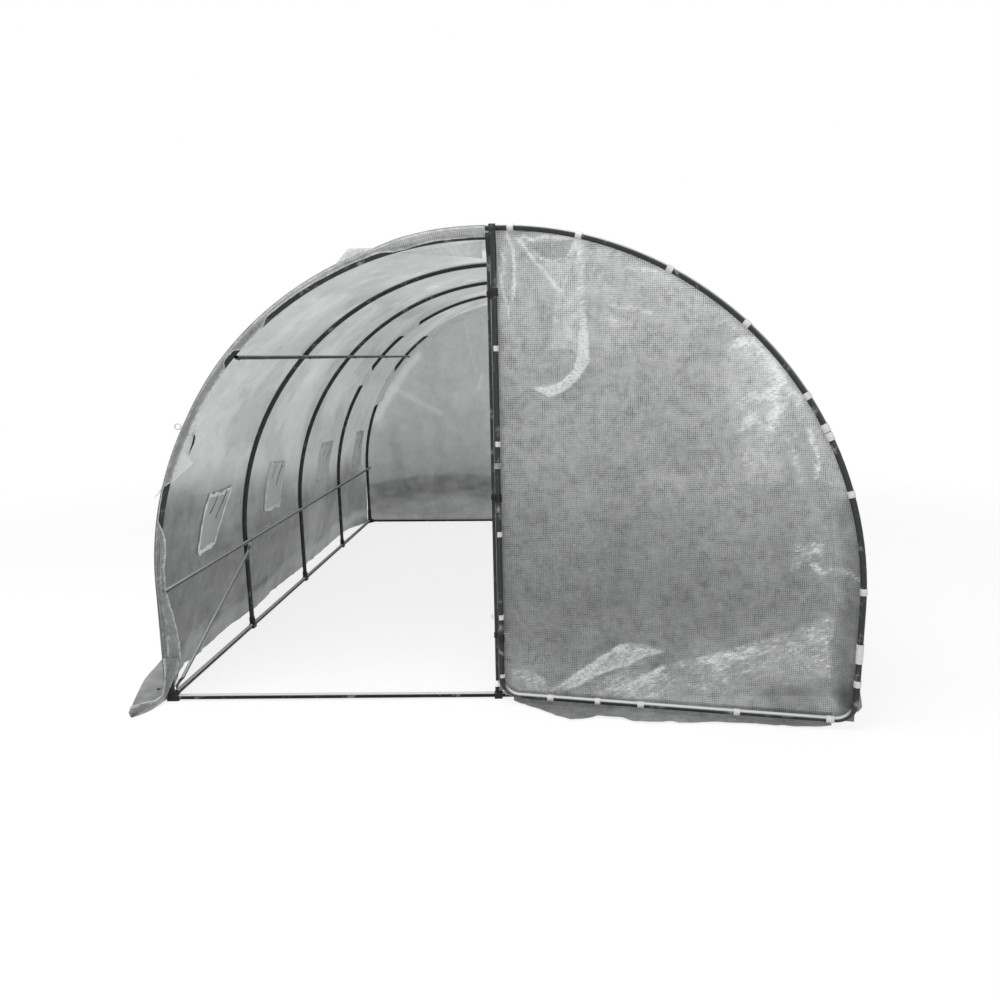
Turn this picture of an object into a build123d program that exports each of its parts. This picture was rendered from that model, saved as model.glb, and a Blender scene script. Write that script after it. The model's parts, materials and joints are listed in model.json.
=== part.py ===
"""Polytunnel greenhouse: a hooped tube frame with a film cover and one full-height swinging door leaf.

Frame: five round-arched hoops on vertical legs, stood on two base rails, tied by purlins and by two front
braces. A post stands in the middle of each end. The cover is a film vault in strips, with four meshed
windows in each side wall, and a loose flap of film on the ground along each side.
The left half of the front is open: its leaf, a bent tube frame with film on its outer face, hangs on the
front post and stands swung round, almost flat against the closed right half.

Millimetres. +Z is up, +Y runs into the tunnel from the doorway, +X is to the right seen from outside.
The origin is on the ground under the front post, in the plane of the front hoop.
"""
from build123d import *
import math
import os

# ---- driving dimensions ------------------------------------------------------------------------------
TUBE_R = 12.5                  # hoops, base rails, sills, posts and leaf frame are 25 mm tube
PURLIN_R = 9.5
BRACE_R = 8.0
WALL = 1.2                     # tube wall, shown at open tube ends
OUTER_HALF_WIDTH = 1500.0      # ground half width, over the hoop tubes
LEG = 520.0                    # straight leg height, where the round arch starts
BAY = 1000.0
BAYS = 4
LENGTH = BAY * BAYS
BASE_Z = 16.0                  # axis height of base rails and sills
HOOP_R = OUTER_HALF_WIDTH - TUBE_R
GAP = 0.3                      # seat gap between tubes and film
FIT = 0.1                      # radial gap of a tube in a straight sleeve

SLEEVE_R = 15.5                # fittings
SLEEVE_LENGTH = 44.0           # along the base rail, round each hoop's foot
SHORT_SLEEVE = 36.0            # along the sills, at the corners and posts
SOCKET_FLOOR = 14.5            # from a fitting's centre to the end of the tube in its socket
SOCKET_TOP = 46.0
CORNER_SLEEVE = 120.0
END_BORE = 40.0                # open tube ends are bored this deep

LOW_PURLIN_Z = 515.0
HIGH_PURLIN_ANGLE = 43.5       # above the horizontal, on the arch
BRACE_FOOT = (30.0, 62.0)      # y, z of the brace's lower bolt
BRACE_HEAD = (BAY, 474.0)
TAB_T = 3.0
TAB_LENGTH = 36.0              # flattened end of a brace, past its bolt on both sides
TAB_NECK = 26.0                # over which the tube is pressed flat

FILM_T = 2.0                   # film is drawn thicker than the real 0.2 mm
FILM_R = OUTER_HALF_WIDTH + GAP
WALL_TOP_ANGLE = 18.0          # seams between the strips of the vault
SHOULDER_TOP_ANGLE = 54.0
FILM_BOTTOM = 4.0
SKIRT_OUT = 120.0              # the hanging wall stands off this far at the ground,
SKIRT_OUT_END = 10.0           # but only this far at its two ends
SKIRT_TAPER = 450.0
VAULT_FRONT = -13.0
VAULT_BACK = LENGTH + 13.0

FLAP_T = 3.5
# the ground flap's loose end, as (x, y) round its edge on the right side
FLAP_END = [(1512, -20), (1528, -126), (1574, -192), (1612, -144), (1636, -72), (1730, 235), (1780, 560)]

WINDOW_W, WINDOW_Z0, WINDOW_Z1 = 320.0, 595.0, 885.0
WINDOW_AT = 0.58               # along the bay
MESH_MARGIN = 22.0
WINDOW_FLAP_MARGIN = 34.0

HINGE_X, HINGE_Y = 20.0, -55.0
LEAF_OPEN_ANGLE = 11.4         # leaf plane ahead of the front plane, at rest
LEAF_R = 1510.0                # leaf bow radius on the tube axis
LEAF_LEG = 525.0
LEAF_BOTTOM = 40.0
LEAF_BEND = 80.0
APRON_BOTTOM = 5.0             # the leaf's film hangs below its bottom bar
HINGE_ZS = (300.0, 930.0, 1780.0)
HINGE_H = 24.0
HINGE_EYE_R = 15.5
COLLAR_H = 8.0
KNUCKLE_FIT = 0.4

BOW_PAST_STILE = 30.0
FLAT_W, FLAT_T = 28.0, 4.0     # flattened tube ends
POST_FLATTENING, POST_FLAT_H = 50.0, 22.0

CLIP_T = 2.4
CLIP_WRAP = 205.0              # degrees of the tube that a clip grips
# each row of clips, as (place, length)
BOW_CLIPS = [(87.2, 26.0), (76.6, 26.0), (62.0, 26.0), (48.1, 28.0), (34.2, 28.0), (28.7, 34.0), (27.3, 34.0),
             (18.0, 28.0), (2.7, 28.0)]                                                  # degrees up the bow
LEG_CLIPS = [(334.0, 82.0), (204.0, 28.0)]                                               # height
BAR_CLIPS = [(1411.0, 32.0), (1031.0, 26.0), (623.0, 28.0), (434.0, 24.0), (223.0, 28.0)]    # from the stile
STILE_CLIPS = [(130.0, 16.0), (403.0, 22.0), (777.0, 22.0), (1166.0, 22.0), (1560.0, 22.0)]  # height


# ---- helpers -----------------------------------------------------------------------------------------
def rod(start, end, radius):
    """A round bar between two points."""
    a, b = Vector(*start), Vector(*end)
    return Plane(origin=a, z_dir=b - a) * Cylinder(
        radius, (b - a).length, align=(Align.CENTER, Align.CENTER, Align.MIN))


def open_tube(start, end, radius, open_start=True, open_end=True):
    """A straight tube, bored at its open ends and solid between them."""
    a, b = Vector(*start), Vector(*end)
    step = (b - a).normalized() * END_BORE
    tube = rod(start, end, radius)
    if open_start:
        tube -= rod(a, a + step, radius - WALL)
    if open_end:
        tube -= rod(b - step, b, radius - WALL)
    return tube


def box(x0, x1, y0, y1, z0, z1):
    return Pos((x0 + x1) / 2, (y0 + y1) / 2, (z0 + z1) / 2) * Box(x1 - x0, y1 - y0, z1 - z0)


def upright(profile, y0, y1):
    """A sketch drawn in X and Z, extruded from y0 to y1."""
    return Pos(0, y1, 0) * extrude(Plane.XZ * profile, amount=y1 - y0)


def arch_face(radius, spring_z, bottom_z):
    """A half-round arch on straight legs, drawn in X and Z as a filled face."""
    legs = Pos(0, (bottom_z + spring_z) / 2) * Rectangle(2 * radius, spring_z - bottom_z)
    top = Pos(0, spring_z) * Circle(radius)
    below = Pos(0, spring_z - radius) * Rectangle(4 * radius, 2 * radius)
    return legs + (top - below)


def strip(from_angle, to_angle, inner, outer, y0, y1):
    """One strip of the vault, on the right side. Angles are above the horizontal."""
    ring = Circle(outer) - Circle(inner)
    a, b = math.radians(from_angle), math.radians(to_angle)
    reach = 2 * outer
    middle = (a + b) / 2
    wedge = make_face(Polyline(
        (0, 0), (reach * math.cos(a), reach * math.sin(a)),
        (reach * math.cos(middle), reach * math.sin(middle)),
        (reach * math.cos(b), reach * math.sin(b)), (0, 0)))
    return upright(Pos(0, LEG) * (ring & wedge), y0, y1)


def wall_profile(inner, outer, out):
    """The hanging part of the wall in X and Z, standing out from the legs by so much at the ground."""
    return make_face(Polyline(
        (inner, LEG), (outer, LEG), (outer + out, FILM_BOTTOM), (inner + out, FILM_BOTTOM), (inner, LEG)))


def wall_strip(inner, outer, y0, y1, top_angle=WALL_TOP_ANGLE):
    """The lowest strip: the start of the arch and the wall hanging from it, as one piece."""
    long_part = upright(wall_profile(inner, outer, SKIRT_OUT), y0 + SKIRT_TAPER, y1 - SKIRT_TAPER)
    wall = long_part + strip(0, top_angle, inner, outer, y0, y1)
    for end, start in ((y0, y0 + SKIRT_TAPER), (y1, y1 - SKIRT_TAPER)):
        narrow = Pos(0, end, 0) * (Plane.XZ * wall_profile(inner, outer, SKIRT_OUT_END))
        wide = Pos(0, start, 0) * (Plane.XZ * wall_profile(inner, outer, SKIRT_OUT))
        wall += loft([narrow, wide], ruled=True)
    return wall


def both_sides(shape):
    return shape, mirror(shape, about=Plane.YZ)


def tee(sleeve_length):
    """A foot fitting at the origin: a flat-footed sleeve along X round a tube, with a socket standing up."""
    body = rod((-sleeve_length / 2, 0, 0), (sleeve_length / 2, 0, 0), SLEEVE_R)
    body += rod((0, 0, 0), (0, 0, SOCKET_TOP), SLEEVE_R)
    body += box(-sleeve_length / 2, sleeve_length / 2, -SLEEVE_R, SLEEVE_R, -BASE_Z, 0)
    body -= rod((-sleeve_length, 0, 0), (sleeve_length, 0, 0), TUBE_R + FIT)
    body -= rod((0, 0, SOCKET_FLOOR), (0, 0, 2 * SOCKET_TOP), TUBE_R + FIT)
    return body


def clip_on(point, tangent, back, length):
    """A snap clip round a tube at a point. It is pushed on from the side that back points to."""
    outer = Circle(TUBE_R + GAP + CLIP_T)
    ring = outer - Circle(TUBE_R + GAP)
    half_open = math.radians((360 - CLIP_WRAP) / 2)
    reach = 4 * TUBE_R
    mouth_x, mouth_z = -reach * math.cos(half_open), reach * math.sin(half_open)
    mouth = make_face(Polyline(
        (0, 0), (mouth_x, mouth_z), (-reach, mouth_z), (-reach, -mouth_z), (mouth_x, -mouth_z), (0, 0)))
    profile = ring - mouth
    where = Plane(origin=point, x_dir=back, z_dir=tangent)
    return where * (Pos(0, 0, -length / 2) * extrude(profile, amount=length))


def on_arch(radius, spring_z, angle):
    a = math.radians(angle)
    return radius * math.cos(a), spring_z + radius * math.sin(a)


def save(name, *solids):
    shape = solids[0] if len(solids) == 1 else Compound(children=list(solids))
    export_step(shape, f"parts/{name}.step")


# ---- hoops and base ----------------------------------------------------------------------------------
def hoop(y):
    """One hoop: two straight legs and the round arch, bent from one tube."""
    foot = BASE_Z + SOCKET_FLOOR
    path = Wire([
        Edge.make_line((-HOOP_R, y, foot), (-HOOP_R, y, LEG)),
        Edge.make_three_point_arc((-HOOP_R, y, LEG), (0, y, LEG + HOOP_R), (HOOP_R, y, LEG)),
        Edge.make_line((HOOP_R, y, LEG), (HOOP_R, y, foot)),
    ])
    return sweep(Plane(origin=(-HOOP_R, y, foot), z_dir=(0, 0, 1)) * Circle(TUBE_R), path=path)


def corner_fitting():
    """The three-way corner at the front left: sockets for the leg, the base rail and the sill."""
    centre = (-HOOP_R, 0, BASE_Z)
    x, y, z = centre
    body = rod(centre, (x, y, CORNER_SLEEVE), SLEEVE_R)
    body += rod(centre, (x + SHORT_SLEEVE, y, z), SLEEVE_R)
    body += rod(centre, (x, y + SLEEVE_LENGTH, z), SLEEVE_R)
    body += box(x - SLEEVE_R, x + SHORT_SLEEVE, -SLEEVE_R, SLEEVE_R, 0, BASE_Z)
    body += box(x - SLEEVE_R, x + SLEEVE_R, 0, SLEEVE_LENGTH, 0, BASE_Z)
    body -= rod((x, y, z + SOCKET_FLOOR), (x, y, 2 * CORNER_SLEEVE), TUBE_R + FIT)
    body -= rod((x + SOCKET_FLOOR, y, z), (x + 2 * SLEEVE_LENGTH, y, z), TUBE_R + FIT)
    body -= rod((x, y + SOCKET_FLOOR, z), (x, y + 2 * SLEEVE_LENGTH, z), TUBE_R + FIT)
    return body


def base_and_hoops():
    for number in range(BAYS + 1):
        save(f"hoop_{number + 1}", hoop(number * BAY))
    rail = rod((HOOP_R, SOCKET_FLOOR, BASE_Z), (HOOP_R, LENGTH - SOCKET_FLOOR, BASE_Z), TUBE_R)
    right, left = both_sides(rail)
    save("base_rail_left", left)
    save("base_rail_right", right)
    reach = HOOP_R - SOCKET_FLOOR
    for name, y in (("front_sill", 0), ("rear_sill", LENGTH)):
        save(name, rod((-reach, y, BASE_Z), (reach, y, BASE_Z), TUBE_R))
    front_left = corner_fitting()
    front_right = mirror(front_left, about=Plane.YZ)
    to_rear = Plane.XZ.offset(-LENGTH / 2)
    save("corner_fittings", front_left, front_right,
         mirror(front_left, about=to_rear), mirror(front_right, about=to_rear))
    feet = [Pos(side * HOOP_R, number * BAY, BASE_Z) * Rot(0, 0, 90) * tee(SLEEVE_LENGTH)
            for number in range(1, BAYS) for side in (-1, 1)]
    save("hoop_feet", *feet)


# ---- posts, purlins and braces -----------------------------------------------------------------------
def post():
    """The front post: round from its foot up, flattened at the top to lie against the front of the hoop."""
    head_z = LEG + HOOP_R
    round_top = head_z - TUBE_R - POST_FLAT_H - POST_FLATTENING
    flat_y = -TUBE_R - FLAT_T / 2 - FIT
    shape = rod((0, 0, BASE_Z + SOCKET_FLOOR), (0, 0, round_top), TUBE_R)
    flat_z = round_top + POST_FLATTENING
    shape += loft([Pos(0, 0, round_top) * Circle(TUBE_R), Pos(0, flat_y, flat_z) * Rectangle(FLAT_W, FLAT_T)])
    shape += box(-FLAT_W / 2, FLAT_W / 2, flat_y - FLAT_T / 2, flat_y + FLAT_T / 2, flat_z, head_z + TUBE_R)
    return shape


def posts():
    save("front_post", post())
    save("rear_post", Pos(0, LENGTH, 0) * post())
    save("post_feet", *[Pos(0, y, BASE_Z) * tee(SHORT_SLEEVE) for y in (0, LENGTH)])


def purlins():
    inset = HOOP_R - TUBE_R - PURLIN_R - FIT
    front, back = -TUBE_R, LENGTH + TUBE_R
    low = open_tube((inset, front, LOW_PURLIN_Z), (inset, back, LOW_PURLIN_Z), PURLIN_R)
    x, z = on_arch(inset, LEG, HIGH_PURLIN_ANGLE)
    high = open_tube((x, front, z), (x, back, z), PURLIN_R)
    for name, tube in (("low_purlin", low), ("high_purlin", high)):
        right, left = both_sides(tube)
        save(name + "_left", left)
        save(name + "_right", right)
    ridge_z = LEG + inset
    post_clear = TUBE_R + FLAT_T + 1.0
    save("ridge_purlin", open_tube((0, front, ridge_z), (0, LENGTH - post_clear, ridge_z), PURLIN_R))


def brace():
    """A brace tube, pressed flat at its ends and bolted to the front corner and the second hoop, on the right."""
    contact_x = HOOP_R - SLEEVE_R - FIT
    axis_x, tab_x = contact_x - BRACE_R, contact_x - TAB_T / 2
    foot, head = Vector(axis_x, *BRACE_FOOT), Vector(axis_x, *BRACE_HEAD)
    run = (head - foot).normalized()
    neck = TAB_LENGTH / 2 + TAB_NECK
    shape = rod(foot + run * neck, head - run * neck, BRACE_R)
    for end, inward in ((foot, run), (head, -run)):
        round_end = Plane(origin=end + inward * neck, x_dir=(1, 0, 0), z_dir=run) * Circle(BRACE_R)
        flat_at = Vector(tab_x, end.Y, end.Z)
        flat_end = Plane(origin=flat_at + inward * TAB_LENGTH / 2, x_dir=(1, 0, 0), z_dir=run) * Rectangle(
            TAB_T, 2.6 * BRACE_R)
        shape += loft([round_end, flat_end])
        tab = Plane(origin=flat_at, x_dir=(1, 0, 0), z_dir=run) * Box(TAB_T, 2.6 * BRACE_R, TAB_LENGTH)
        bore = Pos(tab_x, end.Y, end.Z) * Rot(0, 90, 0) * Cylinder(4.2, 4 * TAB_T)
        shape += tab - bore
    return shape


# ---- cover -------------------------------------------------------------------------------------------
def window_cells():
    """The y centre of each window, one a bay."""
    return [BAY * (bay + WINDOW_AT) for bay in range(BAYS)]


def window_block(centre_y, margin):
    half = WINDOW_W / 2 + margin
    return box(0, 2 * OUTER_HALF_WIDTH, centre_y - half, centre_y + half, WINDOW_Z0 - margin, WINDOW_Z1 + margin)


def cover():
    outer = FILM_R + FILM_T
    wall = wall_strip(FILM_R, outer, VAULT_FRONT, VAULT_BACK)
    for centre_y in window_cells():
        wall -= window_block(centre_y, 0)
    shoulder = strip(WALL_TOP_ANGLE, SHOULDER_TOP_ANGLE, FILM_R, outer, VAULT_FRONT, VAULT_BACK)
    roof = strip(SHOULDER_TOP_ANGLE, 90, FILM_R, outer, VAULT_FRONT, VAULT_BACK)
    mesh_skin = wall_strip(FILM_R - GAP - 1.5, FILM_R - GAP, VAULT_FRONT, VAULT_BACK)
    flap_skin = wall_strip(outer + GAP, outer + GAP + FILM_T, VAULT_FRONT, VAULT_BACK, top_angle=WALL_TOP_ANGLE + 4)
    meshes = [mesh_skin & window_block(y, MESH_MARGIN) for y in window_cells()]
    flaps = [flap_skin & window_block(y, WINDOW_FLAP_MARGIN) for y in window_cells()]
    for name, solids in (("cover_wall", [wall]), ("cover_shoulder", [shoulder]), ("cover_roof", [roof]),
                         ("window_mesh", meshes), ("window_flap", flaps)):
        save(name + "_right", *solids)
        save(name + "_left", *[mirror(s, about=Plane.YZ) for s in solids])
    save_ground_flaps()


def save_ground_flaps():
    """The film turned out flat on the ground along each side, with the same loose end front and rear."""
    foot = FILM_R + SKIRT_OUT
    front = [(x, y) for x, y in FLAP_END]
    rear = [(x, LENGTH - y) for x, y in reversed(FLAP_END)]
    edge = front + rear + [(foot, LENGTH - SKIRT_TAPER), (foot, SKIRT_TAPER)]
    flap = extrude(make_face(Polyline(*edge, edge[0])), amount=FLAP_T)
    right, left = both_sides(flap)
    save("ground_flap_right", right)
    save("ground_flap_left", left)


def end_sheets():
    """The rear end is closed by one sheet. At the front only the right half is, from the post outward."""
    face = arch_face(FILM_R - 0.5, LEG, FILM_BOTTOM)
    reach = SLEEVE_R + GAP
    save("rear_sheet", upright(face, LENGTH + reach, LENGTH + reach + FILM_T))
    front = upright(face, -reach - FILM_T, -reach)
    front &= box(0, 2 * OUTER_HALF_WIDTH, -100, 0, 0, 3000)
    for z in HINGE_ZS:
        front -= box(-1, HINGE_X + SLEEVE_R + 6, -100, 0, z - HINGE_H / 2 - 3, z + HINGE_H / 2 + 3)
    front -= box(-1, FLAT_W / 2 + 4, -100, 0, LEG + HOOP_R - 120, 3000)
    save("front_sheet_right", front)


# ---- door leaf ---------------------------------------------------------------------------------------
def hang(shape):
    """Takes the leaf from its own frame, u along X and the stile on the origin, to its open rest place."""
    return Pos(HINGE_X, HINGE_Y, 0) * Rot(0, 0, -LEAF_OPEN_ANGLE) * shape


def on_bow(u):
    """The bow's axis at u from the stile."""
    return u, 0, LEAF_LEG + math.sqrt(LEAF_R ** 2 - u ** 2)


def leaf_frame():
    """One run of tube: stile, lower corner, bottom bar, outer corner, leg and bow. The stile's top end is
    flattened and lies against the bow, whose open end runs past it."""
    top_z = LEAF_LEG + LEAF_R
    b, z0 = LEAF_BEND, LEAF_BOTTOM
    d = b * (1 - math.cos(math.radians(45)))
    stile_top = top_z - TUBE_R - POST_FLATTENING
    bow_mid_x, bow_mid_z = on_arch(LEAF_R, LEAF_LEG, 45)
    path = Wire([
        Edge.make_line((0, 0, stile_top), (0, 0, z0 + b)),
        Edge.make_three_point_arc((0, 0, z0 + b), (d, 0, z0 + d), (b, 0, z0)),
        Edge.make_line((b, 0, z0), (LEAF_R - b, 0, z0)),
        Edge.make_three_point_arc((LEAF_R - b, 0, z0), (LEAF_R - d, 0, z0 + d), (LEAF_R, 0, z0 + b)),
        Edge.make_line((LEAF_R, 0, z0 + b), (LEAF_R, 0, LEAF_LEG)),
        Edge.make_three_point_arc((LEAF_R, 0, LEAF_LEG), (bow_mid_x, 0, bow_mid_z), (0, 0, top_z)),
        Edge.make_line((0, 0, top_z), (-BOW_PAST_STILE, 0, top_z)),
    ])
    frame = sweep(Plane(origin=(0, 0, stile_top), z_dir=(0, 0, -1)) * Circle(TUBE_R), path=path)
    end = Vector(-BOW_PAST_STILE, 0, top_z)
    frame -= rod(end, end + Vector(18, 0, 0), TUBE_R - WALL)
    flat_y = -TUBE_R - FLAT_T / 2 + 1.0
    flat_z = top_z - TUBE_R - 14
    frame += loft([Pos(0, 0, stile_top) * Circle(TUBE_R), Pos(0, flat_y, flat_z) * Rectangle(FLAT_W, FLAT_T)])
    frame += box(-FLAT_W / 2, FLAT_W / 2, flat_y - FLAT_T / 2, flat_y + FLAT_T / 2, flat_z, top_z + TUBE_R)
    return frame


def leaf_sheet():
    face = arch_face(LEAF_R, LEAF_LEG, APRON_BOTTOM)
    y0 = TUBE_R + GAP
    sheet = upright(face, y0, y0 + FILM_T)
    sheet &= box(SLEEVE_R + 3, 2 * LEAF_R, 0, 100, 0, 3000)
    return sheet


def leaf_clips():
    """Clips that hold the film to the leaf's tube. Those of the stile go on from the film's side."""
    front, outward = (0, -1, 0), (1, 0, 0)
    clips = []
    for angle, length in BOW_CLIPS:
        x, z = on_arch(LEAF_R, LEAF_LEG, angle)
        a = math.radians(angle)
        clips.append(clip_on((x, 0, z), (-math.sin(a), 0, math.cos(a)), front, length))
    clips += [clip_on((LEAF_R, 0, z), (0, 0, 1), front, length) for z, length in LEG_CLIPS]
    clips += [clip_on((u, 0, LEAF_BOTTOM), (1, 0, 0), front, length) for u, length in BAR_CLIPS]
    clips += [clip_on((0, 0, z), (0, 0, 1), outward, length) for z, length in STILE_CLIPS]
    return clips


def collars():
    """A ring on the stile above each hinge knuckle carries the leaf."""
    rings = []
    for z in HINGE_ZS:
        low = z + HINGE_H / 2 + 0.5
        ring = Cylinder(HINGE_EYE_R, COLLAR_H) - Cylinder(TUBE_R + FIT, 2 * COLLAR_H)
        rings.append(Pos(0, 0, low + COLLAR_H / 2) * ring)
    return rings


def hinge_bracket(z):
    """A pressed strap: one eye clamped on the post, and one running eye round the leaf's stile."""
    bridge = Vector(HINGE_X, HINGE_Y, 0)
    turn = math.degrees(math.atan2(HINGE_Y, HINGE_X))
    body = Pos(0, 0, z) * Cylinder(HINGE_EYE_R, HINGE_H)
    body += Pos(HINGE_X, HINGE_Y, z) * Cylinder(HINGE_EYE_R, HINGE_H)
    body += Pos(HINGE_X / 2, HINGE_Y / 2, z) * Rot(0, 0, turn) * Box(bridge.length, 8, HINGE_H)
    body -= Pos(0, 0, z) * Cylinder(TUBE_R + FIT, 2 * HINGE_H)
    body -= Pos(HINGE_X, HINGE_Y, z) * Cylinder(TUBE_R + KNUCKLE_FIT, 2 * HINGE_H)
    return body


def door():
    save("leaf_frame", hang(leaf_frame()))
    save("leaf_sheet", hang(leaf_sheet()))
    save("leaf_clips", *[hang(clip) for clip in leaf_clips()])
    save("leaf_collars", *[hang(ring) for ring in collars()])
    save("door_hinges", *[hinge_bracket(z) for z in HINGE_ZS])


def main():
    os.makedirs("parts", exist_ok=True)
    base_and_hoops()
    posts()
    purlins()
    right, left = both_sides(brace())
    save("front_brace_left", left)
    save("front_brace_right", right)
    cover()
    end_sheets()
    door()


main()
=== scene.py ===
import json
import math

import bmesh
import bpy
import numpy as np
from mathutils import Matrix, Vector


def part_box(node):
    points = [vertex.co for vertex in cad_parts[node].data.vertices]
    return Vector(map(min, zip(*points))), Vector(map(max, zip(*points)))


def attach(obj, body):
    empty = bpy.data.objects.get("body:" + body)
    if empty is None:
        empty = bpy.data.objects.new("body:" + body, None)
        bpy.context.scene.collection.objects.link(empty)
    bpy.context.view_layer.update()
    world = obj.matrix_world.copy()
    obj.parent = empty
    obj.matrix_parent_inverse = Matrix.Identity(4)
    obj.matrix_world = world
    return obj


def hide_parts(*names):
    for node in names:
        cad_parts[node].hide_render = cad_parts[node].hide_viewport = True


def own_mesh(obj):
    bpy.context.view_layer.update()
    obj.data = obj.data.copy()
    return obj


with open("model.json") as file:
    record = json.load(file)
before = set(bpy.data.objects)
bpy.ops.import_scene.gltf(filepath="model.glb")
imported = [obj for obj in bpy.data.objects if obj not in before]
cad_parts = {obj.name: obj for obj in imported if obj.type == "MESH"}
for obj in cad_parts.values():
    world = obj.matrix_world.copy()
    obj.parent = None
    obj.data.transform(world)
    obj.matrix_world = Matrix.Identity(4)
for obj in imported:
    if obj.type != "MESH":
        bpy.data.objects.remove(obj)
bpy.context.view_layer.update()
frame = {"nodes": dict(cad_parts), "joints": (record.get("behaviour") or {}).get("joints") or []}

# Everything is in metres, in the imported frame: +Z up, +Y into the tunnel, the front post on the origin.

# ---- places read from the frame ----------------------------------------------------------------------
HOOPS = [sum(c.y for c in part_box(f"hoop_{n}")) / 2 for n in range(1, 6)]
FRONT, REAR = HOOPS[0], HOOPS[-1]
BAY = HOOPS[1] - HOOPS[0]
HALF_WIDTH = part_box("hoop_1")[1].x
CROWN_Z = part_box("hoop_1")[1].z
SPRING_Z = CROWN_Z - HALF_WIDTH             # the round arch starts here
TUBE_R = 0.0125
AXIS_R = HALF_WIDTH - TUBE_R                # hoop axis radius
FILM_R = HALF_WIDTH + 0.0012
WALL_H = SPRING_Z - 0.004                   # hanging wall, from the ground to where the arch starts
CROWN_H = FILM_R * math.pi / 2              # up the film from there to the ridge
OVERHANG = 0.013                            # the film laps the end hoops by this much

HINGE = frame["joints"][0]
HINGE_X, HINGE_Y = HINGE["pos_m"][0], HINGE["pos_m"][1]
SWUNG = math.radians(180 + min(HINGE["range_deg"]))   # the leaf plane ahead of the front plane
LEAF_U = Vector((math.cos(SWUNG), -math.sin(SWUNG), 0))
LEAF_V = Vector((math.sin(SWUNG), math.cos(SWUNG), 0))
LEAF_R = 1.510
LEAF_SPRING = 0.525
LEAF_BAR_Z = 0.040
LEAF_FILM_V = TUBE_R + 0.0014               # the leaf's film lies behind its tubes
BAYS = len(HOOPS) - 1

PURLIN_R = 0.0095
LOW_PURLIN_Z = 0.515
HIGH_PURLIN_ANGLE = math.radians(43.5)      # up the arch
SLEEVE_R = 0.0155                           # fittings on the rails and posts
BRACE_BOLTS = ((0.030, 0.062), (1.0, 0.474))    # y, z of each brace's two bolts
HINGE_ZS = (0.300, 0.930, 1.780)
END_FILM_OUT = 0.0165                       # an end sheet lies this far outside its end hoop's axis
TAIL_W = 0.16                               # film turned out over the ground,
TAIL_END = 0.192                            # and its loose end past each end hoop

GRID_PITCH = 0.008                          # threads of the scrim
THREAD_W = 0.0024                           # thicker than a real thread of about 1 mm, so that they show


# ---- small helpers -----------------------------------------------------------------------------------
def colour(code):
    """An sRGB hex colour as the linear RGBA that shaders take."""
    values = [int(code[i:i + 2], 16) / 255 for i in (1, 3, 5)]
    return [v / 12.92 if v <= 0.04045 else ((v + 0.055) / 1.055) ** 2.4 for v in values] + [1.0]


def smooth(low, high, x):
    """0 below low, 1 above high and an eased step between them."""
    t = np.clip((np.asarray(x, float) - low) / (high - low), 0, 1)
    return t * t * (3 - 2 * t)


def wander(x, y, cell, seed):
    """Smooth noise from -1 to 1 over a surface, with cell metres from one bump to the next."""
    table = np.random.RandomState(seed).uniform(-1, 1, (61, 61))
    fx, fy = np.asarray(x, float) / cell, np.asarray(y, float) / cell
    ix, iy = np.floor(fx).astype(int), np.floor(fy).astype(int)
    tx, ty = fx - ix, fy - iy
    tx, ty = tx * tx * (3 - 2 * tx), ty * ty * (3 - 2 * ty)

    def at(i, j):
        return table[(ix + i) % 61, (iy + j) % 61]

    low = at(0, 0) * (1 - tx) + at(1, 0) * tx
    high = at(0, 1) * (1 - tx) + at(1, 1) * tx
    return low * (1 - ty) + high * ty


def crumple(x, y, cell, seed):
    """Sharp creases like those of crumpled film, 0 in the flats and 1 on a crease."""
    total = 0
    for octave, weight in ((1.0, 0.6), (0.47, 0.4)):
        total = total + weight * (1 - np.abs(wander(x + 7.1, y + 3.3, cell * octave,
                                                    seed + int(9 * octave)))) ** 4
    return total


def path_distance(x, y, path):
    """Distance from each point to a line of straight runs."""
    best = np.full(np.shape(x), 1e9)
    for (ax, ay), (bx, by) in zip(path[:-1], path[1:]):
        dx, dy = bx - ax, by - ay
        t = np.clip(((x - ax) * dx + (y - ay) * dy) / max(dx * dx + dy * dy, 1e-12), 0, 1)
        best = np.minimum(best, np.hypot(x - ax - t * dx, y - ay - t * dy))
    return best


def patch(x, y, outline, soft):
    """1 inside an outline and 0 outside it, fading over soft metres."""
    inside = np.zeros(np.shape(x), bool)
    for (ax, ay), (bx, by) in zip(outline, outline[1:] + outline[:1]):
        crosses = (ay > y) != (by > y)
        where = (bx - ax) * (y - ay) / (by - ay if by != ay else 1e-9) + ax
        inside ^= crosses & (x < where)
    gap = path_distance(x, y, outline + outline[:1])
    return smooth(-soft, soft, np.where(inside, gap, -gap))


def table(x, rows):
    """A value read off a list of (x, value) rows."""
    return np.interp(x, [r[0] for r in rows], [r[1] for r in rows])


# ---- finishes ----------------------------------------------------------------------------------------
def node(tree, kind, settings=(), links=()):
    """Adds a shader node. settings are its attributes or input values, links what joins its inputs."""
    made = tree.nodes.new(kind)
    for key, value in dict(settings).items():
        if isinstance(key, str) and hasattr(made, key):
            setattr(made, key, value)
        else:
            made.inputs[key].default_value = value
    for key, source in dict(links).items():
        other, output = source if isinstance(source, tuple) else (source, 0)
        tree.links.new(other.outputs[output], made.inputs[key])
    return made


def material(name):
    made = bpy.data.materials.new(name)
    made.use_nodes = True
    made.node_tree.nodes.clear()
    return made, made.node_tree


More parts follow.
